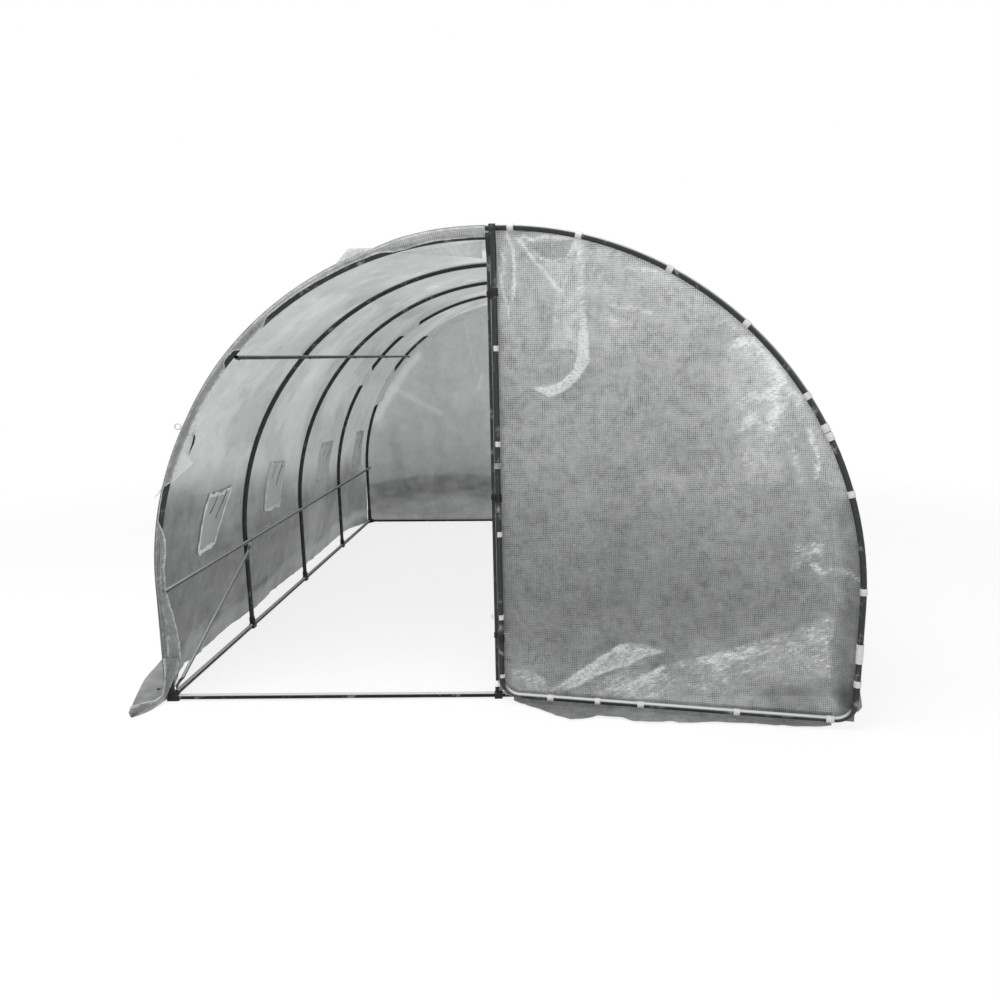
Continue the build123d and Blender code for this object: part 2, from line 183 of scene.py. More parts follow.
def woven_film(name, clear, threads=0.75, film="#cdcfce", soiled_and_shaded="#4a4c4b", creased_and_glint="#f4f5f5", gloss=0.34,
               flecks=0.15, shattered=0.85, glow=0.5):
    """Polyethylene film laminated over a woven scrim. The scrim's threads show as a fine square grid in a
    milky sheet that lets light through. A darkening attribute greys it, mostly near the ground, partly as
    dust and partly as painted shade. A whitening attribute turns it white where it is creased, and in some
    crumpled patches as a painted highlight. flecks is how much fine white crazing shows where the film isn't
    creased, and shattered how white the shards in a crease are. glow is the share of its light that comes
    through from behind."""
    made, tree = material(name)
    cut = node(tree, "ShaderNodeUVMap", {"uv_map": "cut"})
    place = node(tree, "ShaderNodeTexCoord")
    across = node(tree, "ShaderNodeSeparateXYZ", links={"Vector": cut})
    lines = []
    for axis, stretch in (("X", (38.0, 24.0, 1.0)), ("Y", (24.0, 38.0, 2.0))):
        near = node(tree, "ShaderNodeMath", {"operation": "PINGPONG", 1: GRID_PITCH / 2}, {0: (across, axis)})
        line = node(tree, "ShaderNodeMapRange", {
            "interpolation_type": "SMOOTHSTEP", "From Min": THREAD_W * 0.25, "From Max": THREAD_W,
            "To Min": 1.0, "To Max": 0.0}, {"Value": near})
        # in some patches of about 40 mm the threads of one set show, in others those of both or of neither
        along = node(tree, "ShaderNodeMapping", {"Location": stretch, "Scale": stretch}, {"Vector": cut})
        uneven = node(tree, "ShaderNodeTexNoise", {"Scale": 1.0, "Detail": 3.0, "Roughness": 0.7},
                      {"Vector": along})
        weight = node(tree, "ShaderNodeMapRange",
                      {"From Min": 0.38, "From Max": 0.62, "To Min": 0.4, "To Max": 1.08},
                      {"Value": uneven})
        lines.append(node(tree, "ShaderNodeMath", {"operation": "MULTIPLY"}, {0: line, 1: weight}))
    scrim = node(tree, "ShaderNodeMath", {"operation": "MAXIMUM"}, {0: lines[0], 1: lines[1]})
    # the scrim fades in and out where the film lies tight on it or bubbles off it, over about 60 mm
    bubbles = node(tree, "ShaderNodeTexNoise", {"Scale": 16.0, "Detail": 2.0}, {"Vector": (place, "Object")})
    laid = node(tree, "ShaderNodeMapRange",
                {"From Min": 0.3, "From Max": 0.62, "To Min": 0.45, "To Max": 0.95},
                {"Value": bubbles})
    shown = node(tree, "ShaderNodeMath", {"operation": "MULTIPLY"}, {0: scrim, 1: laid})
    faint = node(tree, "ShaderNodeMath", {"operation": "MULTIPLY", 1: threads, "use_clamp": True}, {0: shown})
    # this attribute greys the film: partly dust, and partly painted shade where a sheet is darkened to stand
    # for shadow
    dust_and_shade = node(tree, "ShaderNodeAttribute", {"attribute_name": "soil_and_shade"})
    # this attribute whitens the film: creases, and on the leaf's crumpled foot also a painted highlight
    crease_and_glint = node(tree, "ShaderNodeAttribute", {"attribute_name": "haze"})
    # cloudy dust, in drifts of about 150 mm
    drifts = node(tree, "ShaderNodeTexNoise", {"Scale": 6.5, "Detail": 4.0, "Roughness": 0.6},
                  {"Vector": (place, "Object")})
    spread = node(tree, "ShaderNodeMapRange",
                  {"From Min": 0.3, "From Max": 0.7, "To Min": -0.07, "To Max": 0.07},
                  {"Value": drifts})
    dirt_and_shade = node(tree, "ShaderNodeMath", {"operation": "ADD", "use_clamp": True},
                {0: (dust_and_shade, "Fac"), 1: spread})
    # creased film goes white in jagged shards, 10 to 40 mm long, that lie up and along the crease
    slant = node(tree, "ShaderNodeMapping", {"vector_type": "TEXTURE", "Rotation": (0.0, 0.0, 0.45),
                                             "Scale": (0.042, 0.016, 1.0)}, {"Vector": cut})
    shards = node(tree, "ShaderNodeTexNoise", {"Scale": 1.0, "Detail": 4.0, "Roughness": 0.7},
                  {"Vector": slant})
    raised = node(tree, "ShaderNodeMath", {"operation": "MULTIPLY_ADD", 1: 1.4},
                  {0: shards, 2: (crease_and_glint, "Fac")})
    crisp = node(tree, "ShaderNodeMapRange", {"From Min": 0.88, "From Max": 1.22, "To Max": shattered},
                 {"Value": raised})
    crazed = node(tree, "ShaderNodeMapRange", {"From Max": 0.14, "To Min": flecks},
                  {"Value": (crease_and_glint, "Fac")})
    shard = node(tree, "ShaderNodeMath", {"operation": "MULTIPLY"}, {0: crisp, 1: crazed})
    veil = node(tree, "ShaderNodeMath", {"operation": "MULTIPLY_ADD", 1: 0.5, "use_clamp": True},
                {0: (crease_and_glint, "Fac"), 2: shard})
    # the whole sheet is broken up by dents about 20 mm wide and 8 mm tall, more where its threads stand out
    dent = node(tree, "ShaderNodeMapping", {"Scale": (62.0, 150.0, 1.0)}, {"Vector": cut})
    grit = node(tree, "ShaderNodeTexNoise", {"Scale": 1.0, "Detail": 3.0, "Roughness": 0.6}, {"Vector": dent})
    broken = node(tree, "ShaderNodeMapRange",
                  {"From Min": 0.34, "From Max": 0.66, "To Min": 1 - 0.65 * threads,
                                               "To Max": 1 + 0.4 * threads}, {"Value": grit})
    white = node(tree, "ShaderNodeMath", {"operation": "MULTIPLY", "use_clamp": True}, {0: veil, 1: broken})
    clean = node(tree, "ShaderNodeMix", {"data_type": "RGBA", 6: colour(film), 7: colour(soiled_and_shaded)}, {0: dirt_and_shade})
    tone = node(tree, "ShaderNodeMapRange", {"From Min": 0.3, "From Max": 0.7, "To Min": 1 - 0.11 * threads,
                                             "To Max": 1 + 0.11 * threads}, {"Value": grit})
    sheet = node(tree, "ShaderNodeMix", {"data_type": "RGBA", "blend_type": "MULTIPLY", 0: 1.0},
                 {6: (clean, 2), 7: tone})
    thread = node(tree, "ShaderNodeMix", {"data_type": "RGBA", 0: 0.85, 7: colour("#3b3d3d")},
                  {6: (sheet, 2)})
    woven = node(tree, "ShaderNodeMix", {"data_type": "RGBA"}, {0: faint, 6: (sheet, 2), 7: (thread, 2)})
    face = node(tree, "ShaderNodeMix", {"data_type": "RGBA", 7: colour(creased_and_glint)}, {0: white, 6: (woven, 2)})
    # crinkles of about 12 mm, under the ones that the sheet's own shape has
    crinkle = node(tree, "ShaderNodeTexNoise", {"Scale": 80.0, "Detail": 3.0}, {"Vector": (place, "Object")})
    relief = node(tree, "ShaderNodeMath", {"operation": "MULTIPLY_ADD", 1: 0.35}, {0: scrim, 2: crinkle})
    bump = node(tree, "ShaderNodeBump", {"Strength": 0.35, "Distance": 0.002}, {"Height": relief})
    shine = node(tree, "ShaderNodeMapRange", {"To Min": gloss - 0.08, "To Max": gloss + 0.14},
                 {"Value": bubbles})
    skin = node(tree, "ShaderNodeBsdfPrincipled", {"IOR": 1.51},
                {"Base Color": (face, 2), "Roughness": shine, "Normal": bump})
    passed = node(tree, "ShaderNodeBsdfTranslucent", links={"Color": (face, 2), "Normal": bump})
    lit = node(tree, "ShaderNodeMixShader", {0: glow}, {1: skin, 2: passed})
    open_share = node(tree, "ShaderNodeMath", {"operation": "SUBTRACT", 0: 1.0, "use_clamp": True},
                      {1: shown})
    whole = node(tree, "ShaderNodeMath", {"operation": "MULTIPLY", 1: clear}, {0: open_share})
    veiled = node(tree, "ShaderNodeMapRange", {"To Min": 1.0, "To Max": 0.15}, {"Value": white})
    through = node(tree, "ShaderNodeMath", {"operation": "MULTIPLY"}, {0: whole, 1: veiled})
    window = node(tree, "ShaderNodeBsdfTransparent")
    both = node(tree, "ShaderNodeMixShader", links={0: through, 1: lit, 2: window})
    node(tree, "ShaderNodeOutputMaterial", links={"Surface": both})
    return made


def insect_net(name):
    """Fine polyester net. From a few metres its 1.6 mm mesh is a pale even haze with a slight moire."""
    made, tree = material(name)
    cut = node(tree, "ShaderNodeUVMap", {"uv_map": "cut"})
    across = node(tree, "ShaderNodeSeparateXYZ", links={"Vector": cut})
    # drawn at 5 mm, the finest that shows
    rows = [node(tree, "ShaderNodeMath", {"operation": "PINGPONG", 1: 0.0025},
                 {0: (across, axis)}) for axis in "XY"]
    lines = [node(tree, "ShaderNodeMapRange",
                  {"From Min": 0.0003, "From Max": 0.0012, "To Min": 1.0, "To Max": 0.0},
                  {"Value": row}) for row in rows]
    weave = node(tree, "ShaderNodeMath", {"operation": "MAXIMUM"}, {0: lines[0], 1: lines[1]})
    tint = node(tree, "ShaderNodeMix", {"data_type": "RGBA", 6: colour("#d2d3d3"), 7: colour("#9c9e9e")},
                {0: weave})
    skin = node(tree, "ShaderNodeBsdfPrincipled", {"Roughness": 0.7}, {"Base Color": (tint, 2)})
    glow = node(tree, "ShaderNodeBsdfTranslucent", links={"Color": (tint, 2)})
    lit = node(tree, "ShaderNodeMixShader", {0: 0.5}, {1: skin, 2: glow})
    holes = node(tree, "ShaderNodeMapRange", {"To Min": 0.3, "To Max": 0.05}, {"Value": weave})
    window = node(tree, "ShaderNodeBsdfTransparent")
    both = node(tree, "ShaderNodeMixShader", links={0: holes, 1: lit, 2: window})
    node(tree, "ShaderNodeOutputMaterial", links={"Surface": both})
    return made


def coated_steel(name, coat, rubbed_and_highlight, roughness, top=0.85, lit=(0.22, 0.78), gloss=0.25):
    """Powder-coated steel tube: a dark satin skin with the slight orange peel of baked powder, rubbed paler
    in places. Its upper side is painted paler, partly as dust settled there and partly as a painted highlight
    of the light from above: top is how pale it goes, lit the range of upward facing over which it comes in."""
    made, tree = material(name)
    place = node(tree, "ShaderNodeTexCoord")
    # orange peel is about 2 mm from dimple to dimple
    peel = node(tree, "ShaderNodeTexNoise", {"Scale": 420.0, "Detail": 2.0}, {"Vector": (place, "Object")})
    wear = node(tree, "ShaderNodeTexNoise", {"Scale": 14.0, "Detail": 6.0, "Roughness": 0.72},
                {"Vector": (place, "Object")})
    rub = node(tree, "ShaderNodeMapRange", {"From Min": 0.56, "From Max": 0.74, "To Max": 0.55},
               {"Value": wear})
    facing = node(tree, "ShaderNodeNewGeometry")
    up = node(tree, "ShaderNodeSeparateXYZ", links={"Vector": (facing, "Normal")})
    # painted highlight: up-facing sides are mixed toward the pale colour, partly as settled dust and partly
    # as a painted highlight of the light from above
    dust_and_highlight = node(tree, "ShaderNodeMapRange",
                   {"interpolation_type": "SMOOTHSTEP", "From Min": lit[0], "From Max": lit[1],
                                                "To Max": top}, {"Value": (up, "Z")})
    pale = node(tree, "ShaderNodeMath", {"operation": "MAXIMUM"}, {0: rub, 1: dust_and_highlight})
    tint = node(tree, "ShaderNodeMix", {"data_type": "RGBA", 6: colour(coat), 7: colour(rubbed_and_highlight)}, {0: pale})
    satin = node(tree, "ShaderNodeMapRange", {"To Min": roughness - 0.06, "To Max": roughness + 0.14},
                 {"Value": wear})
    bump = node(tree, "ShaderNodeBump", {"Strength": 0.2, "Distance": 0.0006}, {"Height": peel})
    # dust takes off much of the coat's gloss
    skin = node(tree, "ShaderNodeBsdfPrincipled", {"IOR": 1.5, "Specular IOR Level": gloss},
                {"Base Color": (tint, 2), "Roughness": satin, "Normal": bump})
    node(tree, "ShaderNodeOutputMaterial", links={"Surface": skin})
    return made


def moulded_plastic(name, base, grime, roughness):
    """Injection-moulded polypropylene: a soft even sheen, with grime in patches."""
    made, tree = material(name)
    place = node(tree, "ShaderNodeTexCoord")
    smudge = node(tree, "ShaderNodeTexNoise", {"Scale": 60.0, "Detail": 4.0}, {"Vector": (place, "Object")})
    share = node(tree, "ShaderNodeMapRange", {"From Min": 0.45, "From Max": 0.75, "To Max": 0.5},
                 {"Value": smudge})
    tint = node(tree, "ShaderNodeMix", {"data_type": "RGBA", 6: colour(base), 7: colour(grime)}, {0: share})
    grain = node(tree, "ShaderNodeTexNoise", {"Scale": 900.0}, {"Vector": (place, "Object")})
    bump = node(tree, "ShaderNodeBump", {"Strength": 0.15, "Distance": 0.0003}, {"Height": grain})
    skin = node(tree, "ShaderNodeBsdfPrincipled", {"Roughness": roughness, "IOR": 1.49},
                {"Base Color": (tint, 2), "Normal": bump})
    node(tree, "ShaderNodeOutputMaterial", links={"Surface": skin})
    return made


VAULT_FILM = woven_film("clear_woven_film", clear=0.10, threads=0.35, film="#c9cbca", flecks=0.0,
                        shattered=0.18)
LEAF_FILM = woven_film("clear_woven_film_tight", clear=0.10, threads=1.0, film="#f4f5f5", flecks=0.30,
                       shattered=0.66)
HEM_FILM = woven_film("folded_film_hem", clear=0.22, threads=1.0, shattered=0.4)
TORN_FILM = woven_film("torn_film", clear=0.15, threads=0.3, film="#f6f7f7")
FOLD_FILM = woven_film("film_folded_over_hoop", clear=0.04, threads=0.2, film="#ffffff", flecks=0.5,
                       glow=0.12)
NET = insect_net("insect_net")
# each steel's second colour serves both its rubbed wear and the painted highlight on its upper side; the
# rails' pale tops are partly dust and partly painted highlight
FRAME_STEEL = coated_steel("grey_powder_coat", "#2a2b2d", "#c6c8ca", 0.34)
RAIL_STEEL = coated_steel("grey_powder_coat_dusty_and_highlit", "#1c1d1f", "#c6c8c9", 0.34, top=0.95, lit=(0.38, 0.76),
                          gloss=0.1)
FITTING_STEEL = coated_steel("black_powder_coat", "#161618", "#3c3d3f", 0.42, top=0.5)
ZINC = coated_steel("dulled_zinc_bolts", "#3a3b3d", "#77797b", 0.45)
CLIP_PLASTIC = moulded_plastic("white_clip_plastic", "#bfbfbc", "#868682", 0.48)
TIE_WEBBING = moulded_plastic("black_tie_webbing", "#18181a", "#2e2e30", 0.8)


# ---- sheets of film ----------------------------------------------------------------------------------
cuts = {}


def new_piece(name, mesh, finish):
    mesh.materials.clear()
    mesh.materials.append(finish)
    mesh.polygons.foreach_set("use_smooth", [True] * len(mesh.polygons))
    piece = bpy.data.objects.new(name, mesh)
    bpy.context.scene.collection.objects.link(piece)
    return piece


def film_piece(name, finish, *grids):
    """One smooth sheet made from grids of points. Each grid has points, cut (the place of each point on the
    flat film, in metres), a darkening that is partly dust and partly painted shade, and a whitening that is
    partly creases and partly painted highlight, both from 0 to 1, and perhaps holes, the cells that are cut
    out."""
    points, flats, soils_and_shades, hazes, quads, area, start = [], [], [], [], [], 0.0, 0
    for grid in grids:
        rows, cols = grid["points"].shape[:2]
        index = start + np.arange(rows * cols).reshape(rows, cols)
        cells = np.stack([index[:-1, :-1], index[:-1, 1:], index[1:, 1:], index[1:, :-1]], axis=-1)
        keep = ~grid["holes"] if "holes" in grid else np.ones(cells.shape[:2], bool)
        cut = grid["cut"]
        one, two = cut[1:, 1:] - cut[:-1, :-1], cut[1:, :-1] - cut[:-1, 1:]
        area += float((np.abs(one[..., 0] * two[..., 1] - one[..., 1] * two[..., 0]) / 2)[keep].sum())
        quads.append(cells[keep])
        points.append(grid["points"].reshape(-1, 3))
        flats.append(cut.reshape(-1, 2))
        soils_and_shades.append(np.broadcast_to(grid.get("soil_and_shade", 0.0), (rows, cols)).ravel())
        hazes.append(np.broadcast_to(grid.get("haze", 0.0), (rows, cols)).ravel())
        start += rows * cols
    points, flats, quads = np.concatenate(points), np.concatenate(flats), np.concatenate(quads)
    used, quads = np.unique(quads, return_inverse=True)
    quads = quads.reshape(-1, 4)
    mesh = bpy.data.meshes.new(name)
    mesh.from_pydata(points[used].tolist(), [], quads.tolist())
    for label, values in (("soil_and_shade", soils_and_shades), ("haze", hazes)):
        layer = mesh.attributes.new(label, "FLOAT", "POINT")
        layer.data.foreach_set("value", np.clip(np.concatenate(values)[used], 0, 1).astype(np.float32))
    corners = np.zeros(len(mesh.loops), np.int32)
    mesh.loops.foreach_get("vertex_index", corners)
    mesh.uv_layers.new(name="cut").data.foreach_set("uv", flats[used][corners].astype(np.float32).ravel())
    if len(grids) > 1:
        weld = bmesh.new()
        weld.from_mesh(mesh)
        bmesh.ops.remove_doubles(weld, verts=weld.verts, dist=0.0004)
        weld.to_mesh(mesh)
        weld.free()
    size = flats[used].max(0) - flats[used].min(0)
    cuts[name] = (float(size[0]), float(size[1]), area)
    return new_piece(name, mesh, finish)


def on_tunnel(piece, slot, *nodes):
    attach(piece, "tunnel")
    if nodes:
        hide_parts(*nodes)
    return piece


def on_leaf(piece, slot, *nodes):
    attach(piece, "leaf")
    if nodes:
        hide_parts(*nodes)
    return piece


# ---- the vault ---------------------------------------------------------------------------------------
# A place on the vault is y along the tunnel and h up the film: 0 where the arch starts, below 0 on the
# hanging wall, and CROWN_H at the ridge. side is -1 on the left and 1 on the right.
WINDOW_Y = (0.42, 0.74)                     # within each bay
WINDOW_H = (0.075, 0.3687)
# each window's corners as they hang on the left wall,
# y and z at bottom front, bottom rear, top rear, top front
LEFT_WINDOWS = (
    ((0.426, 0.584), (0.631, 0.597), (0.806, 0.852), (0.529, 0.846)),
    ((1.352, 0.625), (1.625, 0.612), (1.660, 0.872), (1.392, 0.900)),
    ((2.444, 0.639), (2.735, 0.622), (2.772, 0.884), (2.505, 0.898)),
    ((3.520, 0.600), (3.790, 0.580), (3.830, 0.868), (3.565, 0.886)),
)


def height_to_h(z):
    return FILM_R * math.asin((z - SPRING_Z) / FILM_R)


def window_pull():
    """How far each window's corners are dragged from square, in y and h, for both sides."""
    pulls = {-1: [], 1: []}
    chance = np.random.RandomState(5)
    for bay in range(BAYS):
        square = [(bay + WINDOW_Y[a], WINDOW_H[b]) for a, b in ((0, 0), (1, 0), (1, 1), (0, 1))]
        left = [(y, height_to_h(z)) for y, z in LEFT_WINDOWS[bay]]
        pulls[-1].append([(p[0] - q[0], p[1] - q[1]) for p, q in zip(left, square)])
        pulls[1].append([tuple(chance.uniform(-0.03, 0.03, 2)) for _ in range(4)])
    return pulls


WINDOW_PULL = window_pull()


def dragged(y, h, side):
    """The film's y and h after the windows have pulled it out of square."""
    y, h = np.broadcast_arrays(np.asarray(y, float), np.asarray(h, float))
    y_out, h_out = y.copy(), h.copy()
    for bay in range(BAYS):
        a = np.clip((y - bay - WINDOW_Y[0]) / (WINDOW_Y[1] - WINDOW_Y[0]), 0, 1)
        b = np.clip((h - WINDOW_H[0]) / (WINDOW_H[1] - WINDOW_H[0]), 0, 1)
        beyond = np.hypot(y - bay - WINDOW_Y[0] - a * (WINDOW_Y[1] - WINDOW_Y[0]),
                          h - WINDOW_H[0] - b * (WINDOW_H[1] - WINDOW_H[0]))
        fade = 1 - smooth(0.0, 0.2, beyond)
        corners = WINDOW_PULL[side][bay]
        shares = ((1 - a) * (1 - b), a * (1 - b), a * b, (1 - a) * b)
        y_out += fade * sum(s * c[0] for s, c in zip(shares, corners))
        h_out += fade * sum(s * c[1] for s, c in zip(shares, corners))
    return y_out, h_out


def over(h, side):
    """How far over the vault a place is, from the left springing line up and down to the right one."""
    return CROWN_H + side * (CROWN_H - h)


def skirt_out(y):
    """How far the wall stands off the legs at the ground: slack in the middle, held in at both ends."""
    from_end = np.minimum(y - (FRONT - OVERHANG), REAR + OVERHANG - y)
    swing = 0.012 * wander(y, y * 0, 0.33, 21)
    return 0.010 + (0.110 + swing) * smooth(0.0, 0.47, from_end)


def slack(y, h, side):
    """How far the film stands out from the hoops' own line: it sags between hoops and ripples."""
    hump = np.clip(np.sin(np.pi * np.clip(y - FRONT, 0, REAR - FRONT) / BAY), -1, 1) ** 2
    # it sags less where the ridge purlin is close under it
    roof = smooth(0.45, 1.7, h) * (1 - 0.35 * smooth(0.25, 0.0, CROWN_H - h))
    g = over(h, side)
    ripple = wander(y + 0.6 * g, g - 0.4 * y - 5, 0.19, 31) + 0.5 * wander(y - 0.5 * g, g, 0.08, 32)
    pleat = wander(y * 2.2, h * 0.35 + 3 * side, 0.11, 33)
    low = smooth(0.1, -0.35, h)
    inward = -0.017 * roof * hump * (1 + 0.25 * wander(y, g, 0.5, 34))
    return inward + hump ** 0.5 * (0.0035 * ripple + 0.0015) + 0.009 * low * pleat * hump ** 0.4


# degrees up the arch, and the lift there
FRONT_RISE = {-1: ((30, 0.0), (40, 0.009), (50, 0.013), (72, 0.017), (76, 0.026), (82, 0.030), (90, 0.030)),
              1: ((72, 0.0), (90, 0.030))}


def front_rise(h, side):
    """How far the film is lifted off the front hoop near its crown. The hoop is modelled a little low there,
    and the lift keeps the tunnel's outline. The real cover isn't known to stand off its hoop."""
    return table(np.degrees(np.clip(h, 0, None) / FILM_R), FRONT_RISE[side])


def vault_place(y, h, side, lift=0.0):
    """Points on the film, lifted outward by so much."""
    y, h = dragged(y, h, side)
    out = slack(y, h, side) + lift + front_rise(h, side) * smooth(0.40, 0.02, y)
    angle = np.clip(h, 0, None) / FILM_R
    below = np.clip(-h / WALL_H, 0, 1)
    reach = (FILM_R + out) * np.cos(angle) + skirt_out(y) * below ** 1.15
    z = SPRING_Z + np.where(h > 0, (FILM_R + out) * np.sin(angle), h)
    return np.stack([side * reach, y, z], axis=-1)


WALL_LINE = ((0.0, 0.93), (0.5, 0.94), (0.8, 0.92), (1.2, 0.82), (1.8, 0.79), (2.1, 0.70), (2.3, 0.63),
             (2.8, 0.58), (3.3, 0.72), (4.1, 0.42))


def wall_soil_and_shade(y, h, side):
    """Darker film on the walls: thick from the ground to below the windows' tops, fading sooner toward the
    rear, with painted shade toward the front end.
    """
    z = np.where(h > 0, SPRING_Z + FILM_R * np.sin(np.clip(h, 0, None) / FILM_R), SPRING_Z + h)
    g = over(h, side)
    line = table(y, WALL_LINE) + 0.035 * wander(y, z, 0.4, 41)
    soil_and_shade = 0.68 * (1 - smooth(-0.15, 0.15, z - line)) ** 1.1
    soil_and_shade += smooth(0.55, 0.42, z) * (0.08 + 0.12 * smooth(0.9, 1.2, y)) * smooth(2.4, 1.9, y)
    soil_and_shade -= 0.36 * (1 - smooth(0.10, 0.17, z + 0.02 * wander(y, z, 0.15, 44))) * smooth(0.2, 0.5, y)
    # the roof is darker too, and in clouds with edges
    soil_and_shade += (0.26 * smooth(1.42, 1.66, z + 0.05 * wander(y, g, 0.3, 47)) * smooth(1.97, 1.80, z)
             * smooth(0.3, 0.8, y) * smooth(3.3, 2.7, y))
    cloud = wander(y + 0.5 * g, g, 0.34, 43) + 0.35 * wander(y, g, 0.09, 45)
    clouds = ((0.15 * smooth(0.0, 0.10, cloud) + 0.06 * smooth(-0.45, -0.35, cloud)) * smooth(0.7, 1.1, z)
              - 0.07)
    clouds = clouds + 0.08 * smooth(0.1, 0.2, wander(y * 0.7, g, 0.25, 46)) * smooth(0.9, 0.6, z)
    # painted shade: the film is darkened more at the front end, by 0.13 up to 0.2 m along and fading out by
    # 1.1 m
    return np.clip(soil_and_shade + 0.06 * wander(y, g, 0.25, 42) + clouds + 0.12 + 0.13 * smooth(1.1, 0.2, y), 0, 1)


def wall_haze(y, h, side):
    """Pale creases and bruises in the film."""
    arch = smooth(0.9, 1.9, h)
    g = over(h, side)
    creases = crumple(y + 0.7 * g, g, 0.22, 51) * smooth(-0.1, 0.4, wander(y, g, 0.45, 52))
    creases = creases * (1 + 0.8 * smooth(2.2, 3.4, y))
    streaks = crumple(y * 0.35, g, 0.16, 53) * smooth(0.1, 0.8, wander(y, g * 0.6, 0.5, 54))
    streaks = streaks * (0.35 + 0.65 * smooth(-0.1, 0.4, h + 0.3 * smooth(1.0, 3.0, y)))
    window = smooth(0.16, 0.02, np.abs(h - 0.22)) * crumple(y, g, 0.09, 55)
    return np.clip(0.50 * arch * creases + 0.35 * streaks + 0.18 * window, 0, 0.8)


def vault_rows():
    """Lines up one half of the film, closer together over the windows and along the ground."""
    wall = np.linspace(-WALL_H, 0, 21)[:-1]
    sill = np.linspace(0, WINDOW_H[0], 4)[:-1]
    windows = np.linspace(*WINDOW_H, 15)[:-1]
    roof = np.linspace(WINDOW_H[1], CROWN_H, 68)
    return np.concatenate([wall, sill, windows, roof])


FLAP_EDGE = ((-0.192, 1.574), (-0.144, 1.612), (-0.072, 1.636), (0.235, 1.730), (0.560, 1.780), (2.0, 1.776))
FLAP_FOLD = [(1.624, -0.100), (1.577, -0.070), (1.540, -0.036), (1.530, 0.050), (1.536, 0.132),
             (1.570, 0.223)]
FLAP_FRONT = ((-0.192, 1.574), (-0.165, 1.551), (-0.126, 1.528), (-0.07, 1.518), (-0.013, 1.511))


def flap_grid(side, columns):
    """The film's tail, turned out over the ground along one side, with a loose tongue at each end."""
    lead = np.linspace(-TAIL_END, columns[0], 11)[:-1]
    y = np.concatenate([lead, columns, REAR - lead[::-1]])
    from_front = np.minimum(y, REAR - y)
    foot = vault_place(y, np.full_like(y, -WALL_H), side)[:, 0] * side
    inner = np.where(from_front < columns[0], table(from_front, FLAP_FRONT), foot)
    outer = table(from_front, FLAP_EDGE) + 0.010 * wander(y, y * 0, 0.21, 61) * smooth(0.3, 0.8, from_front)
    t = np.linspace(0, 1, 10)[:, None]
    x = inner + (outer - inner) * t
    y = np.broadcast_to(y, x.shape)
    rise = (0.010 * np.clip(wander(x * 1.3, y, 0.10, 62), 0, 1)
            + 0.007 * np.clip(wander(x, y, 0.045, 63), 0, 1))
    tongue = smooth(0.16, -0.12, from_front)
    rise = (rise + 0.012 * tongue * np.sin(np.pi * t) ** 2) * np.sin(np.pi * (0.12 + 0.76 * t)) + 0.0015
    z = 0.004 * (1 - t) + np.where(t > 0, rise * smooth(0, 0.25, t), 0) + 0.0005
    soil_and_shade = 0.70 + 0.10 * wander(x, y, 0.2, 64) + 0.10 * wander(x, y, 0.03, 66)
    haze = 0.10 * crumple(x, y, 0.12, 65)
    return {"points": np.stack([side * x, y, z], axis=-1),
            "cut": np.stack([y, -WALL_H - t * (outer - inner)], axis=-1),
            "soil_and_shade": soil_and_shade, "haze": haze}


def vault_film():
    """The whole cover as one sheet: tail, wall, arch, wall and tail, with the windows cut out."""
    columns = np.concatenate([[-OVERHANG, -0.006], np.linspace(0, REAR, 201),
                              [REAR + 0.006, REAR + OVERHANG]])
    up = vault_rows()
    grids = []
    for side in (-1, 1):
        y, h = np.meshgrid(columns, up)
        middle_y, middle_h = (y[1:, 1:] + y[:-1, :-1]) / 2, (h[1:, 1:] + h[:-1, :-1]) / 2
        within = (middle_y % BAY > WINDOW_Y[0]) & (middle_y % BAY < WINDOW_Y[1])
        holes = within & (middle_h > WINDOW_H[0]) & (middle_h < WINDOW_H[1])
        aside = 10 if side > 0 else 0       # keeps the two halves apart on the flat
        half = {"points": vault_place(y, h, side), "cut": np.stack([y, h + aside], axis=-1),
                "soil_and_shade": wall_soil_and_shade(y, h, side), "haze": wall_haze(y, h, side), "holes": holes}
        tail = flap_grid(side, columns)
        tail["cut"][..., 1] += aside
        grids += [half, tail]
    piece = film_piece("cover_film", VAULT_FILM, *grids)
    across = 2 * (CROWN_H + WALL_H + TAIL_W)
    cuts[piece.name] = (across, REAR + 2 * TAIL_END, cuts[piece.name][2])
    sides = ("left", "right")
    on_tunnel(piece, "woven_film",
              *[f"cover_{part}_{side}" for part in ("wall", "shoulder", "roof") for side in sides],
              *[f"ground_flap_{side}" for side in sides])
    return piece


def window_patch(name, side, bay, finish, lift, margin, steps=14, soil_and_shade=0.1, haze=0.0, billow=0.0):
    """A panel that follows the wall over one window, with its edges margin metres outside the opening."""
    y = np.linspace(bay + WINDOW_Y[0] - margin, bay + WINDOW_Y[1] + margin, steps)
    h = np.linspace(WINDOW_H[0] - margin, WINDOW_H[1] + margin, steps)
    y, h = np.meshgrid(y, h)
    a, b = np.linspace(0, np.pi, steps)[None, :], np.linspace(0, np.pi, steps)[:, None]
    bulge = billow * np.sin(a) * np.sin(b) * (1 + 0.5 * wander(y, h, 0.08, 70 + bay))
    points = vault_place(y, h, side, lift + bulge)
    cut = np.stack(dragged(y, h, side), axis=-1)
    return film_piece(name, finish, {"points": points, "cut": cut, "soil_and_shade": soil_and_shade, "haze": haze})


